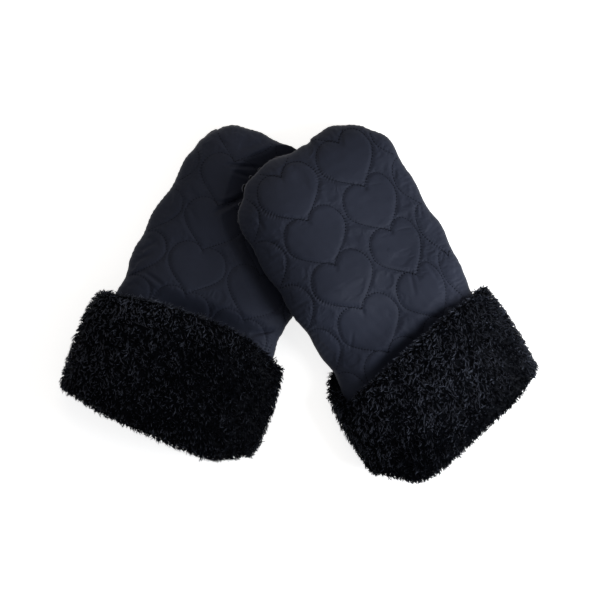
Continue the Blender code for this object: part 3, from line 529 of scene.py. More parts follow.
    def panel_grid(self, across, down, inset=0.0):
        """A Coons patch: blends the finger end's arc, the two sides and the mouth's straight line.

        Columns crowd towards the sides and rows towards the finger end, where the crown is steepest.
        """
        rim = self.rim + inset * self.rim_inward
        rim[0, 1] = rim[-1, 1] = -self.length
        top = np.nonzero(rim[:, 1] > -TIP_DEPTH)[0]
        left, finger, right = rim[: top[0] + 1][::-1], rim[top[0] : top[-1] + 1], rim[top[-1] :]
        even = np.arange(across + 1) / across
        s = COLUMN_CROWDING * (1 - np.cos(np.pi * even)) / 2 + (1 - COLUMN_CROWDING) * even
        t = np.arange(down + 1) / down
        t = t - ROW_CROWDING * np.sin(np.pi * t)
        mouth = left[-1] + (right[-1] - left[-1]) * s[:, None]
        far, near = along_line(finger, s)[None], mouth[None]
        sides_left, sides_right = along_line(left, t)[:, None], along_line(right, t)[:, None]
        s, t = s[None, :, None], t[:, None, None]
        far_ends = (1 - s) * far[:, :1] + s * far[:, -1:]
        near_ends = (1 - s) * near[:, :1] + s * near[:, -1:]
        corners = (1 - t) * far_ends + t * near_ends
        return ((1 - t) * far + t * near + (1 - s) * sides_left + s * sides_right - corners).reshape(-1, 2)


def grid_faces(rows, columns, wrap=False, close=False):
    """Quads of a grid of vertices; wrap joins the last column to the first, and close the last row."""
    index = np.arange(rows * columns).reshape(rows, columns)
    if close:
        index = np.vstack([index, index[:1]])
    if wrap:
        index = np.hstack([index, index[:, :1]])
    corners = index[:-1, :-1], index[1:, :-1], index[1:, 1:], index[:-1, 1:]
    return np.column_stack([part.ravel() for part in corners])


def every(step, across, down):
    """The vertices on every so many rows and columns of a panel's grid."""
    return np.arange((across + 1) * (down + 1)).reshape(down + 1, across + 1)[::step, ::step].ravel()


def closed_sheet(across, down, step=1):
    """Faces of a panel's grid over another that is step times coarser, joined at their edges.

    Returns quads and triangles: each coarse edge piece is met by step fine ones as a fan.
    """

    def border(height, width):
        index = np.arange(height * width).reshape(height, width)
        return np.concatenate([index[0, :-1], index[:-1, -1], index[-1, :0:-1], index[:0:-1, 0]])

    rows, columns, low_rows, low_columns = down + 1, across + 1, down // step + 1, across // step + 1
    size = rows * columns
    fine, coarse = border(rows, columns), border(low_rows, low_columns) + size
    after, next_coarse = np.roll(fine, -1), np.roll(coarse, -1)
    fans = [np.column_stack([fine[k::step], after[k::step], coarse]) for k in range(step - 1)]
    last = np.column_stack([fine[step - 1 :: step], after[step - 1 :: step], next_coarse, coarse])
    quads = np.vstack([grid_faces(rows, columns), grid_faces(low_rows, low_columns)[:, ::-1] + size, last])
    return quads, np.vstack(fans) if fans else None


def signed_volume(vertices, faces):
    a, b, c, d = (vertices[faces[:, k]] for k in range(4))
    return float((np.cross(b, c) * a).sum() + (np.cross(c, d) * a).sum())


def put(name, data):
    """A new object of a mesh, lamp or camera, in the scene."""
    thing = bpy.data.objects.new(name, data)
    bpy.context.scene.collection.objects.link(thing)
    return thing


def make_mesh(name, material, vertices, faces, triangles=None, **attributes):
    """A mesh from arrays of quads and triangles, its faces turned outwards by the volume's sign."""
    if signed_volume(vertices, faces) < 0:
        faces = faces[:, ::-1]
        triangles = None if triangles is None else triangles[:, ::-1]
    corners, starts, sizes = faces.ravel(), np.arange(len(faces)) * 4, np.full(len(faces), 4)
    if triangles is not None:
        starts = np.concatenate([starts, len(corners) + np.arange(len(triangles)) * 3])
        sizes = np.concatenate([sizes, np.full(len(triangles), 3)])
        corners = np.concatenate([corners, triangles.ravel()])
    mesh = bpy.data.meshes.new(name)
    mesh.vertices.add(len(vertices))
    mesh.vertices.foreach_set("co", vertices.astype(np.float32).ravel())
    mesh.loops.add(len(corners))
    mesh.loops.foreach_set("vertex_index", corners.astype(np.int32))
    mesh.polygons.add(len(starts))
    mesh.polygons.foreach_set("loop_start", starts.astype(np.int32))
    mesh.polygons.foreach_set("loop_total", sizes.astype(np.int32))
    mesh.update(calc_edges=True)
    mesh.validate()
    mesh.shade_smooth()
    mesh.materials.append(material)
    for label, values in attributes.items():
        mesh.attributes.new(label, "FLOAT", "POINT").data.foreach_set("value", values.astype(np.float32))
    return put(name, mesh)


def tubes(lines, radius, side, up, sides):
    """Capped tubes round many centre lines at once: line + radius (cos(a) side + sin(a) up).

    Returns the vertices by line, ring and side, the quads, and the end caps' triangles.
    """
    count, rings = lines.shape[:2]
    around = tau * np.arange(sides) / sides
    ring = np.cos(around)[:, None] * side[:, :, None] + np.sin(around)[:, None] * up[:, :, None]
    points = lines[:, :, None] + radius[..., None, None] * ring
    fan = np.array([(0, k + 1, k) for k in range(1, sides - 1)])
    caps = np.vstack([fan, (rings - 1) * sides + fan[:, ::-1]])
    first = (np.arange(count) * rings * sides)[:, None, None]
    quads = grid_faces(rings, sides, wrap=True) + first
    return points.reshape(-1, 3), quads.reshape(-1, 4), (caps + first).reshape(-1, 3)


def billow(name, vertices, faces, pins):
    """Cloth held on its seams and rim, a little too large, with air under it. Returns how far it moved."""
    mesh = bpy.data.meshes.new(name)
    mesh.from_pydata((vertices * BILLOW_SCALE).tolist(), [], faces.tolist())
    thing = put(name, mesh)
    group = thing.vertex_groups.new(name=CLOTH["vertex_group_mass"])
    levels = np.round(pins, 1)
    for level in np.unique(levels[levels > 0]):
        group.add(np.nonzero(levels == level)[0].tolist(), float(level), "REPLACE")
    cloth = thing.modifiers.new("cloth", "CLOTH")
    cloth.collision_settings.use_collision = False
    cloth.settings.effector_weights.gravity = 0
    for setting, value in CLOTH.items():
        setattr(cloth.settings, setting, value)
    for number in range(1, BILLOW_FRAMES + 1):
        bpy.context.scene.frame_set(number)
    got = thing.evaluated_get(bpy.context.evaluated_depsgraph_get()).to_mesh()
    moved = np.empty(len(vertices) * 3)
    got.vertices.foreach_get("co", moved)
    bpy.data.objects.remove(thing)
    bpy.context.scene.frame_set(1)
    move = moved.reshape(-1, 3) / BILLOW_SCALE - vertices
    length = np.linalg.norm(move, axis=1, keepdims=True)
    return move * np.minimum(1.0, BILLOW_LIMIT / np.maximum(length, 1e-9))


def finer(values, rows, columns, step):
    """Values on a coarse grid read between its rows and columns, on one that is step times finer."""
    grid = values.reshape(rows, columns, -1)
    for axis, count in ((0, rows), (1, columns)):
        place = np.arange((count - 1) * step + 1) / step
        low = np.minimum(place.astype(int), count - 2)
        share = (place - low).reshape([-1 if k == axis else 1 for k in range(3)])
        grid = np.take(grid, low, axis) * (1 - share) + np.take(grid, low + 1, axis) * share
    return grid.reshape(-1, values.shape[1])


def front_surface(mitt):
    """The front's outer face, on a grid: the crown less the seams' valleys, then what the cloth adds.

    A valley is QUILT_DEPTH exp(-(d / QUILT_SOFTNESS)^2) + SEAM_DEPTH exp(-d / SEAM_SOFTNESS) at a
    distance d from the seam. The cloth's billow, the ladder puckers along the seams, the rim's puckers
    and two slow ripples are added to it, and the creases and the tuck under the cuff are taken off.
    """
    across, down = FRONT_GRID
    plan = mitt.panel_grid(across, down)
    rim, run = nearest_on_line(plan, mitt.rim)
    seam, seam_run = mitt.nearest_seam(plan)
    inward = ease((rim - RIM_EDGE) / QUILT_MARGIN) * mitt.sizes["relief"]
    valley = QUILT_DEPTH * np.exp(-((seam / QUILT_SOFTNESS) ** 2))
    valley += SEAM_DEPTH * np.exp(-seam / SEAM_SOFTNESS)
    surface = np.column_stack([plan, mitt.crown(plan, rim) - inward * valley])
    pick = every(CLOTH_STEP, across, down)
    sewn = np.clip(SEAM_PIN_RISE - seam[pick] / SEAM_PIN, 0, 1) * (rim[pick] > QUILT_MARGIN / 2)
    rows, columns = down // CLOTH_STEP + 1, across // CLOTH_STEP + 1
    pins = np.maximum(sewn, rim[pick] < RIM_EDGE)
    move = billow(f"{mitt.side}_cloth", surface[pick], grid_faces(rows, columns), pins)
    move = finer(move, rows, columns, CLOTH_STEP)
    surface = surface + move * (1 - np.exp(-seam / SEAM_PIN))[:, None] * ease(rim / QUILT_MARGIN)[:, None]
    ladder = np.sin(seam_run * tau / LADDER_PITCH) * np.exp(-seam / LADDER_REACH)
    surface[:, 2] += LADDER * ladder * (LADDER_MEAN + LADDER_CHANGE * ripple(plan, "ladder")) * inward
    pucker = wandering_wave(run, PUCKER_PITCH, PUCKER_WANDER, plan, "pucker")
    surface[:, 2] += PUCKER * pucker * ease(rim / PUCKER_START) * np.exp(-rim / PUCKER_FADE)
    surface[:, 2] += (SWELL * ripple(plan, "swell") + CRUMPLE * ripple(plan, "crumple")) * inward
    surface[:, 2] -= mitt.creases(plan) * inward + mitt.tuck(plan) * ease(rim / CROWN_REACH)
    surface[:, :2] = mitt.shape_rim(surface[:, :2], rim, run)
    return surface, plan, rim, run


def from_edge(edge, inner, rim):
    """A quilt's inner face: at an edge's level at the rim, and at its own from LAYER_INSET inwards."""
    return edge + (inner - edge) * ease(rim / LAYER_INSET)


def add_front(mitt, nylon):
    """The front quilt: its outer face over a smooth, coarser inner one, closed at the rim."""
    surface, plan, rim, run = front_surface(mitt)
    pick = every(INNER_STEP, *FRONT_GRID)
    low_plan, low_rim = plan[pick], rim[pick]
    inner = mitt.lining_under(low_plan, low_rim) + LINING_THICKNESS + LAYER_GAP
    inner = from_edge(SEAM_HEIGHT + mitt.rise(low_plan) + LAYER_GAP / 2, inner, low_rim)
    inner = np.minimum(inner, surface[pick, 2] - RIM_EDGE / 2)
    under = np.column_stack([mitt.shape_rim(low_plan, low_rim, run[pick]), inner])
    rims = np.concatenate([rim, low_rim])
    lying = mitt.lie(np.vstack([surface, under]), rims)
    sheet = closed_sheet(*FRONT_GRID, INNER_STEP)
    return make_mesh(f"{mitt.side}_front_quilt", nylon, lying, *sheet, rim=rims), lying[: len(plan)]


def add_back(mitt, nylon):
    """The back quilt, flat where it rests, its seams drawn up into it."""
    plan = mitt.panel_grid(*BACK_GRID)
    rim, run = nearest_on_line(plan, mitt.rim)
    seam = mitt.nearest_seam(plan)[0]
    drawn = QUILT_DEPTH * ease((rim - RIM_EDGE) / QUILT_MARGIN) * np.exp(-seam / QUILT_SOFTNESS)
    outer = mitt.underside(plan, rim) + drawn
    edge = SEAM_HEIGHT + mitt.rise(plan) - LAYER_GAP / 2
    inner = from_edge(edge, mitt.back_lining_under(plan) - LAYER_GAP, rim)
    inner = np.maximum(inner, outer + RIM_EDGE / 2)
    shaped = mitt.shape_rim(plan, rim, run)
    rims = np.concatenate([rim, rim])
    lying = mitt.lie(np.vstack([np.column_stack([shaped, outer]), np.column_stack([shaped, inner])]), rims)
    sheet = closed_sheet(*BACK_GRID)
    return make_mesh(f"{mitt.side}_back_quilt", nylon, lying, *sheet, rim=rims), lying[: len(plan)]


def add_lining(mitt, panel, fleece):
    """A fleece sheet of even thickness with a fuzzy face, in from the rim as the lining's solid is."""
    plan = mitt.panel_grid(*LINING_GRID, inset=LAYER_INSET)
    rim = nearest_on_line(plan, mitt.rim)[0]
    fuzz = FUZZ * ripple(plan, "fuzz") + FINE_FUZZ * ripple(plan, "fine_fuzz")
    if panel == "front":
        low = mitt.lining_under(plan, rim)
        low, high = low + fuzz, low + LINING_THICKNESS
    else:
        low = mitt.back_lining_under(plan)
        high = low + LINING_THICKNESS + fuzz
    vertices = np.vstack([np.column_stack([plan, high]), np.column_stack([plan, low])])
    lying = mitt.lie(vertices, np.concatenate([rim, rim]))
    return make_mesh(f"{mitt.side}_{panel}_fleece", fleece, lying, *closed_sheet(*LINING_GRID))


def cuff_ring(mitt, angle, top, side, bottom, reach_share=None, square=None):
    """A ring round the pouch's cross-section at the panels' end, pushed out by top, side and bottom.

    An outward step of top or bottom goes with the square of the outline normal's upright part, and
    side with the rest. The ring lies at a share of the way between the cuff's near and far edges, or
    else of the way from square across the panels' end to the far edge.
    """
    sizes = mitt.sizes
    left, right = np.array(RIM_SHARES[mitt.side])[[0, -1], 0] * POUCH_WIDTH
    middle, half = (left + right) / 2, (right - left) / 2
    x = middle + half * np.cos(angle)
    depth = half - abs(x - middle)
    level = SEAM_HEIGHT + FUR_UNDER
    upper = level + RIM_EDGE + CROWN_HEIGHT * swell(depth, CROWN_REACH)
    lower = level - RIM_EDGE - (SEAM_HEIGHT - RIM_EDGE) * swell(depth, UNDERSIDE_REACH)
    loop = np.column_stack([x, np.where(np.sin(angle) > 0, upper, lower)])
    outward = unit(turned_right(np.roll(loop, -1, axis=0) - np.roll(loop, 1, axis=0)))
    upright = outward[:, 1]
    on_left, sideways = np.cos(angle) < 0, abs(np.cos(angle))
    if side > 0:
        side = side * np.where(on_left, *sizes["side_shares"])
    amount = side * (1 - upright**2) + np.where(upright > 0, top, bottom) * upright**2
    loop = loop + outward * amount[:, None]
    x, z = loop[:, 0] + sizes["shift"] * np.clip(amount / CUFF_SIDE, 0.0, 1.0), loop[:, 1]
    facing = ease((np.sin(angle) + CUFF_FACING_SHARE) / (2 * CUFF_FACING_SHARE))
    front = mitt.length - sizes["over_front"] + sizes["front_slope"] * x
    back = mitt.length - sizes["over_back"] + sizes["back_slope"] * x
    near = back + (front - back) * facing
    near += np.where(on_left, *sizes["near_corners"]) * sideways**NEAR_CORNER_POWER
    corner = np.where(on_left, *sizes["corners"]) * sideways**CUFF_CORNER_POWER
    far = mitt.length + sizes["reach"] + sizes["end_slope"] * x - corner
    if square is None:
        down = near + (far - near) * reach_share
    else:
        down = mitt.length + CUFF_GAP + (far - mitt.length - CUFF_GAP) * square
    return np.column_stack([x, -down, np.maximum(z, 0.0)])


def sleeve_ring(mitt, angle, out, square):
    """A ring pushed out alike all round."""
    return cuff_ring(mitt, angle, out, out, out, square=square)


def ring_angles(stations):
    return tau * (np.arange(stations) + 0.5) / stations


def cuff_surface(mitt, stations, parts):
    """The pile's surface from its near edge over the roll and into the mouth: a spline through rings.

    Returns it with its outward normals, and the ground that lies PILE_INSET inside it.
    """
    angle = ring_angles(stations)
    inner = -(SLEEVE_THICKNESS + CUFF_GAP + FUR_LINING)
    roll = (FUR_THICKNESS + inner) / 2
    steps = [((FUR_THICKNESS, CUFF_SIDE, FUR_UNDER), shares) for shares in CUFF_OUTER_SHARES]
    steps.append(((roll, CUFF_SIDE, roll), (1.0, 1.0, CUFF_ROLL_SIDE_SHARE, 1.0)))
    steps += [((inner, inner, inner), shares) for shares in CUFF_INNER_SHARES]
    rings = [
        cuff_ring(mitt, angle, *(step * share for step, share in zip(out, shares)), reach_share=reach)
        for out, (reach, *shares) in steps
    ]
    rings.append(sleeve_ring(mitt, angle, inner, 0.0))
    surface = spline(np.array(rings), parts)
    around = (np.roll(surface, -1, axis=1) - np.roll(surface, 1, axis=1)) / 2
    normal = unit(np.cross(np.gradient(surface, axis=0), around))
    outer_top = len(surface) // 3, stations // 4, 2
    if normal[outer_top] < 0:
        normal = -normal
    deep = surface - normal * PILE_INSET
    deep[..., 2] = np.maximum(deep[..., 2], 0.0)
    return surface, normal, deep


def add_cuff_base(mitt, fur):
    """The pile's ground: the cuff's surface a little way in, with lumps, closed round its sleeve slot."""
    stations, parts = GROUND_GRID
    surface, normal, deep = cuff_surface(mitt, stations, parts)
    lumps = LUMP * ripple(surface.reshape(-1, 3), "lump").reshape(surface.shape[:2])
    deep = deep + normal * lumps[..., None]
    deep[..., 2] = np.maximum(deep[..., 2], FLOOR_CLEARANCE)
    inside, angle = -(SLEEVE_THICKNESS + CUFF_GAP), ring_angles(stations)
    closing = [
        sleeve_ring(mitt, angle, out, square)
        for out, square in (
            (inside, 0.0), (inside, SLEEVE_SLOT_SHARE), (CUFF_GAP, SLEEVE_SLOT_SHARE), (CUFF_GAP, 0.0),
        )
    ]
    rings = np.concatenate([deep, closing])
    faces = grid_faces(len(rings), stations, wrap=True, close=True)
    vertices = rings.reshape(-1, 3)
    # Painted shade: the ground is near black, its backing's own black and the shade between the strands
    shade = np.full(len(vertices), GROUND_SHADE)
    return make_mesh(f"{mitt.side}_cuff_ground", fur, mitt.place(vertices), faces, shade=shade)


def add_pile(mitt, fur):
    """Clumps of curled strands all over the cuff; a clump's strands turn together and lean together.

    A strand's centre line is root + normal L (t - t^2 / 3) + lean 0.9 L t^1.5 + offset (1 - t / 3)
    + curl (circle(t) - circle(0)), for t from 0 to 1. The lean is the nap plus slow and quick changes.
    Its shade is 2.5 t^2 - 1.35, painted shade at its root and a painted highlight at its tip, plus a random
    part and painted light and shade by its place on the cuff and in the pile's partings.
    """
    rng = np.random.default_rng(mitt.sizes["seed"])
    surface, normal, deep = cuff_surface(mitt, *PILE_GRID)
    rows, stations = surface.shape[:2]
    faces = grid_faces(rows, stations, wrap=True)
    flat, ground, up = surface.reshape(-1, 3), deep.reshape(-1, 3), normal.reshape(-1, 3)
    a, b, c, d = (flat[faces[:, k]] for k in range(4))
    area = np.linalg.norm(np.cross(c - a, d - b), axis=1) / 2
    total = np.cumsum(area * np.where(faces[:, 0] // stations > rows * MOUTH_SHARE, MOUTH_WEIGHT, 1.0))
    pick = np.searchsorted(total, (np.arange(CLUMPS) + rng.uniform(0, 1, CLUMPS)) / CLUMPS * total[-1])
    corner = faces[np.minimum(pick, len(faces) - 1)]
    s, t = rng.uniform(0, 1, (2, CLUMPS, 1))

    def between(values):
        return ((values[corner[:, 0]] * (1 - t) + values[corner[:, 1]] * t) * (1 - s)
                + (values[corner[:, 3]] * (1 - t) + values[corner[:, 2]] * t) * s)

    root, out = between(ground), unit(between(up))
    root[:, 2] = np.maximum(root[:, 2], FLOOR_CLEARANCE)
    lean = np.column_stack([ripple(root, f"lean_{way}") for way in "xyz"])
    nap = NAP * np.array((*mitt.sizes["nap"], 0.0))
    lean = LEAN_SLOW * lean + rng.normal(0, LEAN_QUICK, (CLUMPS, 3)) + nap
    lean -= out * (lean * out).sum(1)[:, None]
    first = unit(np.cross(out, lean + NUDGE))
    second = np.cross(out, first)
    length = STRAND_LENGTH * rng.uniform(*SPREAD, CLUMPS) + LUMP * ripple(root, "lump")
    phase = rng.uniform(0, tau, CLUMPS)
    twist = rng.choice((-1.0, 1.0), CLUMPS) * rng.uniform(*TWIST, CLUMPS)
    curl = CURL_RADIUS * rng.uniform(*CURL_SPREAD, CLUMPS)
    # Painted light and shade by place on the cuff, on top of a random part
    tone_and_painted_shade = rng.normal(0, CLUMP_TONE, CLUMPS) + np.interp(root[:, 0], PAINTED_SHADE_ACROSS_PLACES, mitt.sizes["painted_shade_across"])
    tone_and_painted_shade += np.interp(-root[:, 1] - mitt.length, PAINTED_SHADE_ALONG_PLACES, mitt.sizes["painted_shade_along"])
    tone_and_painted_shade += SLOW_TONE * ripple(root, "tone_and_painted_shade")
    # A parting's strands are shorter, and its darkness is painted shade
    for start, end, darker, breadth in PARTING_PIXELS[mitt.side]:
        parted = np.exp(-((nearest_on_line(root[:, :2], mitt.photo_line(start, end))[0] / breadth) ** 2))
        tone_and_painted_shade -= darker * parted
        length *= 1 - PARTING_CUT * darker * parted
    count = CLUMPS * CLUMP_STRANDS
    root, out, lean, first, second, length, phase, twist, curl, tone_and_painted_shade = (
        np.repeat(values, CLUMP_STRANDS, axis=0)
        for values in (root, out, lean, first, second, length, phase, twist, curl, tone_and_painted_shade)
    )
    offset = np.clip(rng.normal(0, CLUMP_SCATTER, (count, 2)), -CLUMP_LIMIT, CLUMP_LIMIT) * CLUMP_RADIUS
    length = length * rng.uniform(*STRAND_SPREAD, count)
    phase = phase + rng.normal(0, TWIST_SCATTER, count)
    share = np.arange(STRAND_RINGS) / (STRAND_RINGS - 1)
    angle = phase[:, None] + twist[:, None] * share
    one = curl[:, None] * (np.cos(angle) - np.cos(phase)[:, None]) + offset[:, :1] * (1 - share / 3)
    two = curl[:, None] * (np.sin(angle) - np.sin(phase)[:, None]) + offset[:, 1:] * (1 - share / 3)
    line = (
        root[:, None] + first[:, None] * one[..., None] + second[:, None] * two[..., None]
        + out[:, None] * (length[:, None] * (share - share**2 / 3))[..., None]
        + lean[:, None] * (length[:, None] * LEAN_REACH * share**LEAN_POWER)[..., None]
    )
    line[..., 2] = np.maximum(line[..., 2], STRAND_RADIUS)
    along = unit(np.gradient(line, axis=1))
    side_one = unit(np.cross(along, first[:, None] + SIDE_TILT * out[:, None]))
    side_two = np.cross(along, side_one)
    radius = STRAND_RADIUS * rng.uniform(*SPREAD, count)[:, None] * (1 - STRAND_TAPER * share**2)
    shade = (tone_and_painted_shade + rng.normal(0, STRAND_TONE, count))[:, None] + (share**2 * TIP_HIGHLIGHT + ROOT_SHADE)
    pieces = []
    for number, start in enumerate(range(0, count, STRANDS_PER_PIECE), 1):
        some = slice(start, start + STRANDS_PER_PIECE)
        points, quads, caps = tubes(line[some], radius[some], side_one[some], side_two[some], STRAND_SIDES)
        points[:, 2] = np.maximum(points[:, 2], FLOOR_CLEARANCE)
        values = np.repeat(shade[some].ravel(), STRAND_SIDES)
        name = f"{mitt.side}_cuff_pile_{number}"
        pieces.append(make_mesh(name, fur, mitt.place(points), quads, caps, shade=values))
    return pieces


def add_lip(mitt, looks):
    """The slot's lip: the flap's turned hem, the back panel's hem just outside it, and fleece between.

    Each is a tube along the rim. The back hem stands out by HEM_OUT, and by HEM_GAP more where a slow
    random wave is high, so that dark fleece shows there in small gaps. The last HEM_START of the lip,
    towards the mouth, stays thin and closed.
    """
    lip = np.flatnonzero((mitt.rim - mitt.slot[0]) @ mitt.slot_across < 0)
    run = np.linspace(mitt.rim_run[lip[0]], mitt.rim_run[lip[-1]], HEM_STATIONS)
    place = read_along(run, mitt.rim_run, mitt.rim)
    inward = read_along(run, mitt.rim_run, mitt.rim_inward)
    push = np.interp(run, mitt.rim_run, mitt.rim_push)
    wave = wandering_wave(run, HEM_PITCH, HEM_WANDER, place, "hem")
    wave = wave * (HEM_WAVE_MEAN + HEM_WAVE_CHANGE * ripple(place, "gap"))
    ends = ease((run - run[0] - HEM_START) / HEM_FADE) * ease((run[-1] - run) / HEM_END_FADE)
    ends *= mitt.sizes["lip"]
    gap = HEM_OUT + HEM_GAP * ease(HEM_GAP_GAIN * wave - HEM_GAP_LEVEL)
    thick = HEM_RADIUS * (HEM_THIN_SHARE + (1 - HEM_THIN_SHARE) * ends)
    outs = HEM_FLAP_SHARE * HEM_OUT * ends, gap * ends, gap * ends / 2
    pieces = []
    for out, (name, look, height, width, change) in zip(outs, HEMS):
        radius = thick * (width + change * wave)
        level = SEAM_HEIGHT + mitt.rise(place) + height + HEM_WAVE * wave
        line = np.column_stack([place - inward * (push + out)[:, None], level])
        along = unit(np.gradient(line, axis=0))
        side = unit(np.cross(along, (0.0, 0.0, 1.0)))
        up = np.cross(side, along)
        vertices, quads, caps = tubes(line[None], radius[None], side[None], up[None], HEM_SIDES)
        pieces.append(make_mesh(f"{mitt.side}_{name}", looks[look], mitt.lie(vertices), quads, caps))
    return pieces


def add_sleeve(mitt, nylon):
    """The turned mouth of the shell inside the fold of fur."""
    angle = ring_angles(SLEEVE_STATIONS)
    rings = [sleeve_ring(mitt, angle, 0.0, square) for square in SLEEVE_SHARES]
    rings += [sleeve_ring(mitt, angle, -SLEEVE_THICKNESS, square) for square in SLEEVE_SHARES[::-1]]
    faces = grid_faces(len(rings), SLEEVE_STATIONS, wrap=True, close=True)
    vertices = np.concatenate(rings)
    rims = np.full(len(vertices), FAR)
    return make_mesh(f"{mitt.side}_mouth_sleeve", nylon, mitt.place(vertices), faces, rim=rims)


def add_stitches(mitt, panel, surface, grid, thread):
    """Thread along the seams on a panel's face: each stitch a small capsule laid between two holes."""
    across, down = grid
    below = panel == "back"
    tree = BVHTree.FromPolygons(surface.tolist(), grid_faces(down + 1, across + 1).tolist())
    ends = []
    for line in mitt.hearts:
        length = line_length(line)
        count = int(length / STITCH_PITCH)
        start = (np.arange(count) + STITCH_START) / count
        ends.append(np.stack([along_line(line, start), along_line(line, start + STITCH_LENGTH / length)], 1))
    ends = np.concatenate(ends)
    middle = ends.mean(1)
    clear = nearest_on_line(middle, mitt.rim)[0] > STITCH_RIM
    clear &= middle[:, 1] > -mitt.length + STITCH_MOUTH
    ends = ends[clear & inside_loop(middle, mitt.rim)] @ mitt.turn.T + mitt.tip
    drop, height = (Vector((0, 0, 1)), RAY_BOTTOM) if below else (Vector((0, 0, -1)), RAY_TOP)
    found = [[tree.ray_cast(Vector((*point, height)), drop)[0] for point in pair] for pair in ends]
    points = np.array([[tuple(spot) for spot in pair] for pair in found if None not in pair])
    along = unit(points[:, 1] - points[:, 0])
    side = unit(np.cross(along, (0, 0, 1)))
    up = np.cross(side, along) * (-1 if below else 1)
    centre = points[:, :1] * (1 - STITCH_PLACES)[:, None] + points[:, 1:] * STITCH_PLACES[:, None]
    centre = centre + up[:, None] * (STITCH_LIFT * STITCH_LIFTS)[:, None]
    radius = STITCH_RADIUS * mitt.sizes["relief"] * STITCH_RADII
    capsules = tubes(centre, radius[None], side[:, None], up[:, None], STITCH_SIDES)
    return make_mesh(f"{mitt.side}_{panel}_stitches", thread, *capsules)


def display(red, green, blue):
    """A colour in 0-255 display values, as linear values."""
    values = np.array([red, green, blue]) / 255
    return (*np.where(values <= 0.04045, values / 12.92, ((values + 0.055) / 1.055) ** 2.4), 1.0)


def tune(node, values):
    """Sets a node's sockets; a name has underscores for its spaces."""
    for name, value in values.items():
        node.inputs[name.replace("_", " ")].default_value = value


class Finish:
    """A material while it is made: its shader, and short ways to add nodes."""

    def __init__(self, name, **values):
        self.material = bpy.data.materials.new(name)
        self.material.use_nodes = True
        self.tree = self.material.node_tree
        self.shader = self.tree.nodes["Principled BSDF"]
        tune(self.shader, values)

    def add(self, kind, links=(), modes=(), **values):
        """A node with its modes, its sockets' values and the sources of its inputs."""
        node = self.tree.nodes.new(f"ShaderNode{kind}")
        for mode, choice in dict(modes).items():
            setattr(node, mode, choice)
        tune(node, values)
        for socket, source in dict(links).items():
            self.tree.links.new(source, node.inputs[socket])
        return node

    def link(self, source, socket):
        self.tree.links.new(source, self.shader.inputs[socket])

    def texture(self, kind, modes=(), **values):
        """A texture on the piece's Object coordinates."""
        place = self.add("TexCoord").outputs["Object"]
        return self.add(kind, {"Vector": place}, modes, **values).outputs["Fac"]

    def noise(self, scale, detail=3.0, roughness=0.5):
        return self.texture("TexNoise", Scale=scale, Detail=detail, Roughness=roughness)

    def attribute(self, name, **span):
        """A mesh attribute, mapped from one span to another."""
        node = self.add("Attribute", modes={"attribute_name": name})
        return self.add("MapRange", {"Value": node.outputs["Fac"]}, **span).outputs["Result"]

    def ramp(self, source, dark, light, places=(0.0, 1.0)):
        """A colour between two display colours, by a source that passes two places."""
        node = self.add("ValToRGB", {"Fac": source})
        for element, place, colour in zip(node.color_ramp.elements, places, (dark, light)):
            element.position, element.color = place, display(*colour)
        return node.outputs["Color"]

    def bump(self, height, strength, distance, before=None):
        """Relief from a height, on top of an earlier relief."""
        links = {"Height": height} if before is None else {"Height": height, "Normal": before}
        normal = self.add("Bump", links, Strength=strength, Distance=distance).outputs["Normal"]
        self.link(normal, "Normal")
        return normal


def shell_nylon():
    """Matt navy nylon: a fine plain weave, faint crease marks, and a paler turned rim."""
    sheen = {"Sheen_Weight": 0.02, "Sheen_Roughness": 0.45}
    finish = Finish("shell_nylon", Roughness=0.62, Specular_IOR_Level=0.12, **sheen)
    cloth = finish.ramp(finish.noise(14.0, 5.0, 0.6), (35, 39, 52), (42, 46, 60), (0.30, 0.72))
    # The colour turns paler towards the rim, over its last 2.2 mm
    edge = finish.attribute("rim", From_Max=0.0022, To_Min=0.55, To_Max=0.0)
    paler_near_rim = finish.add("Mix", {"Factor": edge, "A": cloth}, {"data_type": "RGBA"}, B=display(60, 63, 72))
    finish.link(paler_near_rim.outputs["Result"], "Base Color")
    size = {"Scale": 640.0, "Distortion": 1.2}
    threads = {
        number: finish.texture("TexWave", {"bands_direction": way}, Detail=detail, **size)
        for number, (way, detail) in enumerate((("X", 1.0), ("Y", 2.0)))
    }
    weave = finish.add("Math", threads, {"operation": "ADD"})
    fine = finish.bump(weave.outputs[0], strength=0.25, distance=0.00012)
    finish.bump(finish.noise(210.0, 4.0, 0.6), strength=0.30, distance=0.0005, before=fine)
    return finish.material


def curly_fur():
    """Black curly pile with painted shade at the roots and a painted highlight towards the tips; each strand
    unlike its neighbours.
    """
    finish = Finish("curly_fur", Roughness=0.6, Specular_IOR_Level=0.06)
    shade = finish.attribute("shade", From_Min=-1.05, From_Max=1.75)
    # Painted shade at the roots and on the ground, a painted highlight at the tips: near black to a mid
    # blue-grey
    finish.link(finish.ramp(shade, (2, 4, 10), (93, 98, 112)), "Base Color")
    finish.bump(finish.noise(1500.0, 2.0), strength=0.4, distance=0.0003)
    return finish.material


def grained(name):
    """A finish between two colours by one noise, its grain, with a finer noise as its relief."""
    dark, light, grain, relief, strength, distance, gloss = GRAINED[name]
    finish = Finish(name, **gloss)
    finish.link(finish.ramp(finish.noise(*grain), dark, light), "Base Color")
    finish.bump(finish.noise(*relief), strength, distance)
    return finish.material


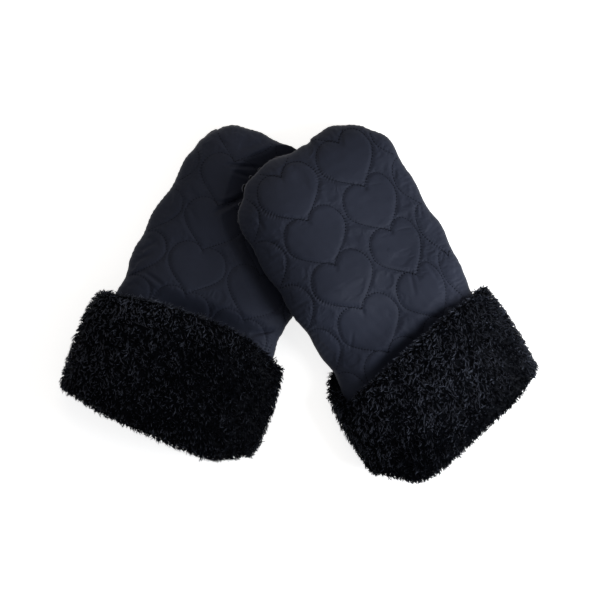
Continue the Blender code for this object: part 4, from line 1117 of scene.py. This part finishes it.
def floor_paper():
    """A white sheet: the camera sees it near white, and it keeps the object's shadow.

    Its glow is FLOOR_GLOW for camera, glossy and transmission rays, and nothing for the rest.
    """
    finish = Finish("floor_paper", Base_Color=(0.80, 0.80, 0.80, 1.0), Roughness=0.9)
    rays = finish.add("LightPath").outputs
    seen = rays["Is Camera Ray"]
    for ray in ("Is Glossy Ray", "Is Transmission Ray"):
        seen = finish.add("Math", {0: seen, 1: rays[ray]}, {"operation": "MAXIMUM"}).outputs[0]
    power = finish.add("Math", {0: seen}, {"operation": "MULTIPLY"})
    power.inputs[1].default_value = FLOOR_GLOW
    glow = finish.add("Emission", {"Strength": power.outputs[0]})
    both = finish.add("AddShader", {0: finish.shader.outputs[0], 1: glow.outputs[0]})
    finish.tree.links.new(both.outputs[0], finish.tree.nodes["Material Output"].inputs["Surface"])
    return finish.material


def add_lamp(name, place, size, power, colour):
    """A round soft lamp that points at the origin."""
    lamp = bpy.data.lights.new(name, "AREA")
    lamp.color = colour
    lamp.shape, lamp.size, lamp.energy = "DISK", size, power
    thing = put(name, lamp)
    thing.location = place
    thing.rotation_euler = (-Vector(place)).to_track_quat("-Z", "Y").to_euler()


def add_stage():
    """A white floor, a soft key lamp low on the right, a weak fill, a plain world, and the camera above."""
    corners = [(x * FLOOR_HALF, y * FLOOR_HALF, -FLOOR_DROP) for x, y in ((-1, -1), (1, -1), (1, 1), (-1, 1))]
    mesh = bpy.data.meshes.new("floor")
    mesh.from_pydata(corners, [], [(0, 1, 2, 3)])
    mesh.materials.append(floor_paper())
    put("floor", mesh)
    for name, lamp in LAMPS.items():
        add_lamp(name, *lamp)
    world = bpy.data.worlds.new("world")
    bpy.context.scene.world = world
    world.use_nodes = True
    tune(world.node_tree.nodes["Background"], {"Color": WORLD_COLOUR, "Strength": WORLD_STRENGTH})
    camera = bpy.data.cameras.new("camera")
    camera.lens = camera.sensor_width * VIEW_HEIGHT / VIEW_WIDTH
    bpy.context.scene.camera = put("camera", camera)
    bpy.context.scene.camera.location = (0.0, VIEW_MIDDLE, VIEW_HEIGHT)
    bpy.context.scene.view_settings.view_transform = "Standard"


def add_mitt(mitt, looks):
    """One mitt's pieces: what each is made of, what it stands for, and what it moves with."""
    side, nylon, fleece, thread = mitt.side, looks["nylon"], looks["fleece"], looks["thread"]
    body, flap = f"{side}_mitt", f"{side}_slot_flap"

    def dress(piece, slot, *nodes, bends=False):
        if nodes:
            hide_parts(*(f"{side}_{node}" for node in nodes))
        if bends:
            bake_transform(piece)
        else:
            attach(piece, body)

    front, face = add_front(mitt, nylon)
    dress(front, "quilted_nylon", "front_shell", "flap_shell", "front_wadding", "flap_wadding", bends=True)
    back, back_face = add_back(mitt, nylon)
    dress(back, "quilted_nylon", "back_shell", "back_wadding")
    dress(add_lining(mitt, "front", fleece), "fleece", "front_lining", "flap_lining", bends=True)
    dress(add_lining(mitt, "back", fleece), "fleece", "back_lining")
    dress(add_stitches(mitt, "front", face, FRONT_GRID, thread), "quilted_nylon", bends=True)
    dress(add_stitches(mitt, "back", back_face, BACK_GRID, thread), "quilted_nylon")
    flap_hem, back_hem, lip_fleece = add_lip(mitt, looks)
    dress(flap_hem, "quilted_nylon", bends=True)
    dress(back_hem, "quilted_nylon")
    dress(lip_fleece, "fleece")
    dress(add_cuff_base(mitt, looks["fur"]), "curly_fur", "cuff_fur")
    for piece in add_pile(mitt, looks["fur"]):
        dress(piece, "curly_fur")
    dress(add_sleeve(mitt, nylon), "quilted_nylon", "cuff_sleeve")
    for kind in ("stud", "socket"):
        for number in (1, 2):
            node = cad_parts[f"{side}_snap_{kind}_{number}"]
            node.data.materials.clear()
            node.data.materials.append(looks["metal"])


looks = {
    "nylon": shell_nylon(), "fleece": grained("lining_fleece"), "fur": curly_fur(),
    "hem": grained("hem_nylon_painted_highlight"), "thread": grained("seam_thread_painted_shade"), "metal": grained("snap_nickel"),
}
right_mitt = Mitt("right")
left_mitt = Mitt("left", over=right_mitt)
for mitt in (left_mitt, right_mitt):
    add_mitt(mitt, looks)
add_stage()
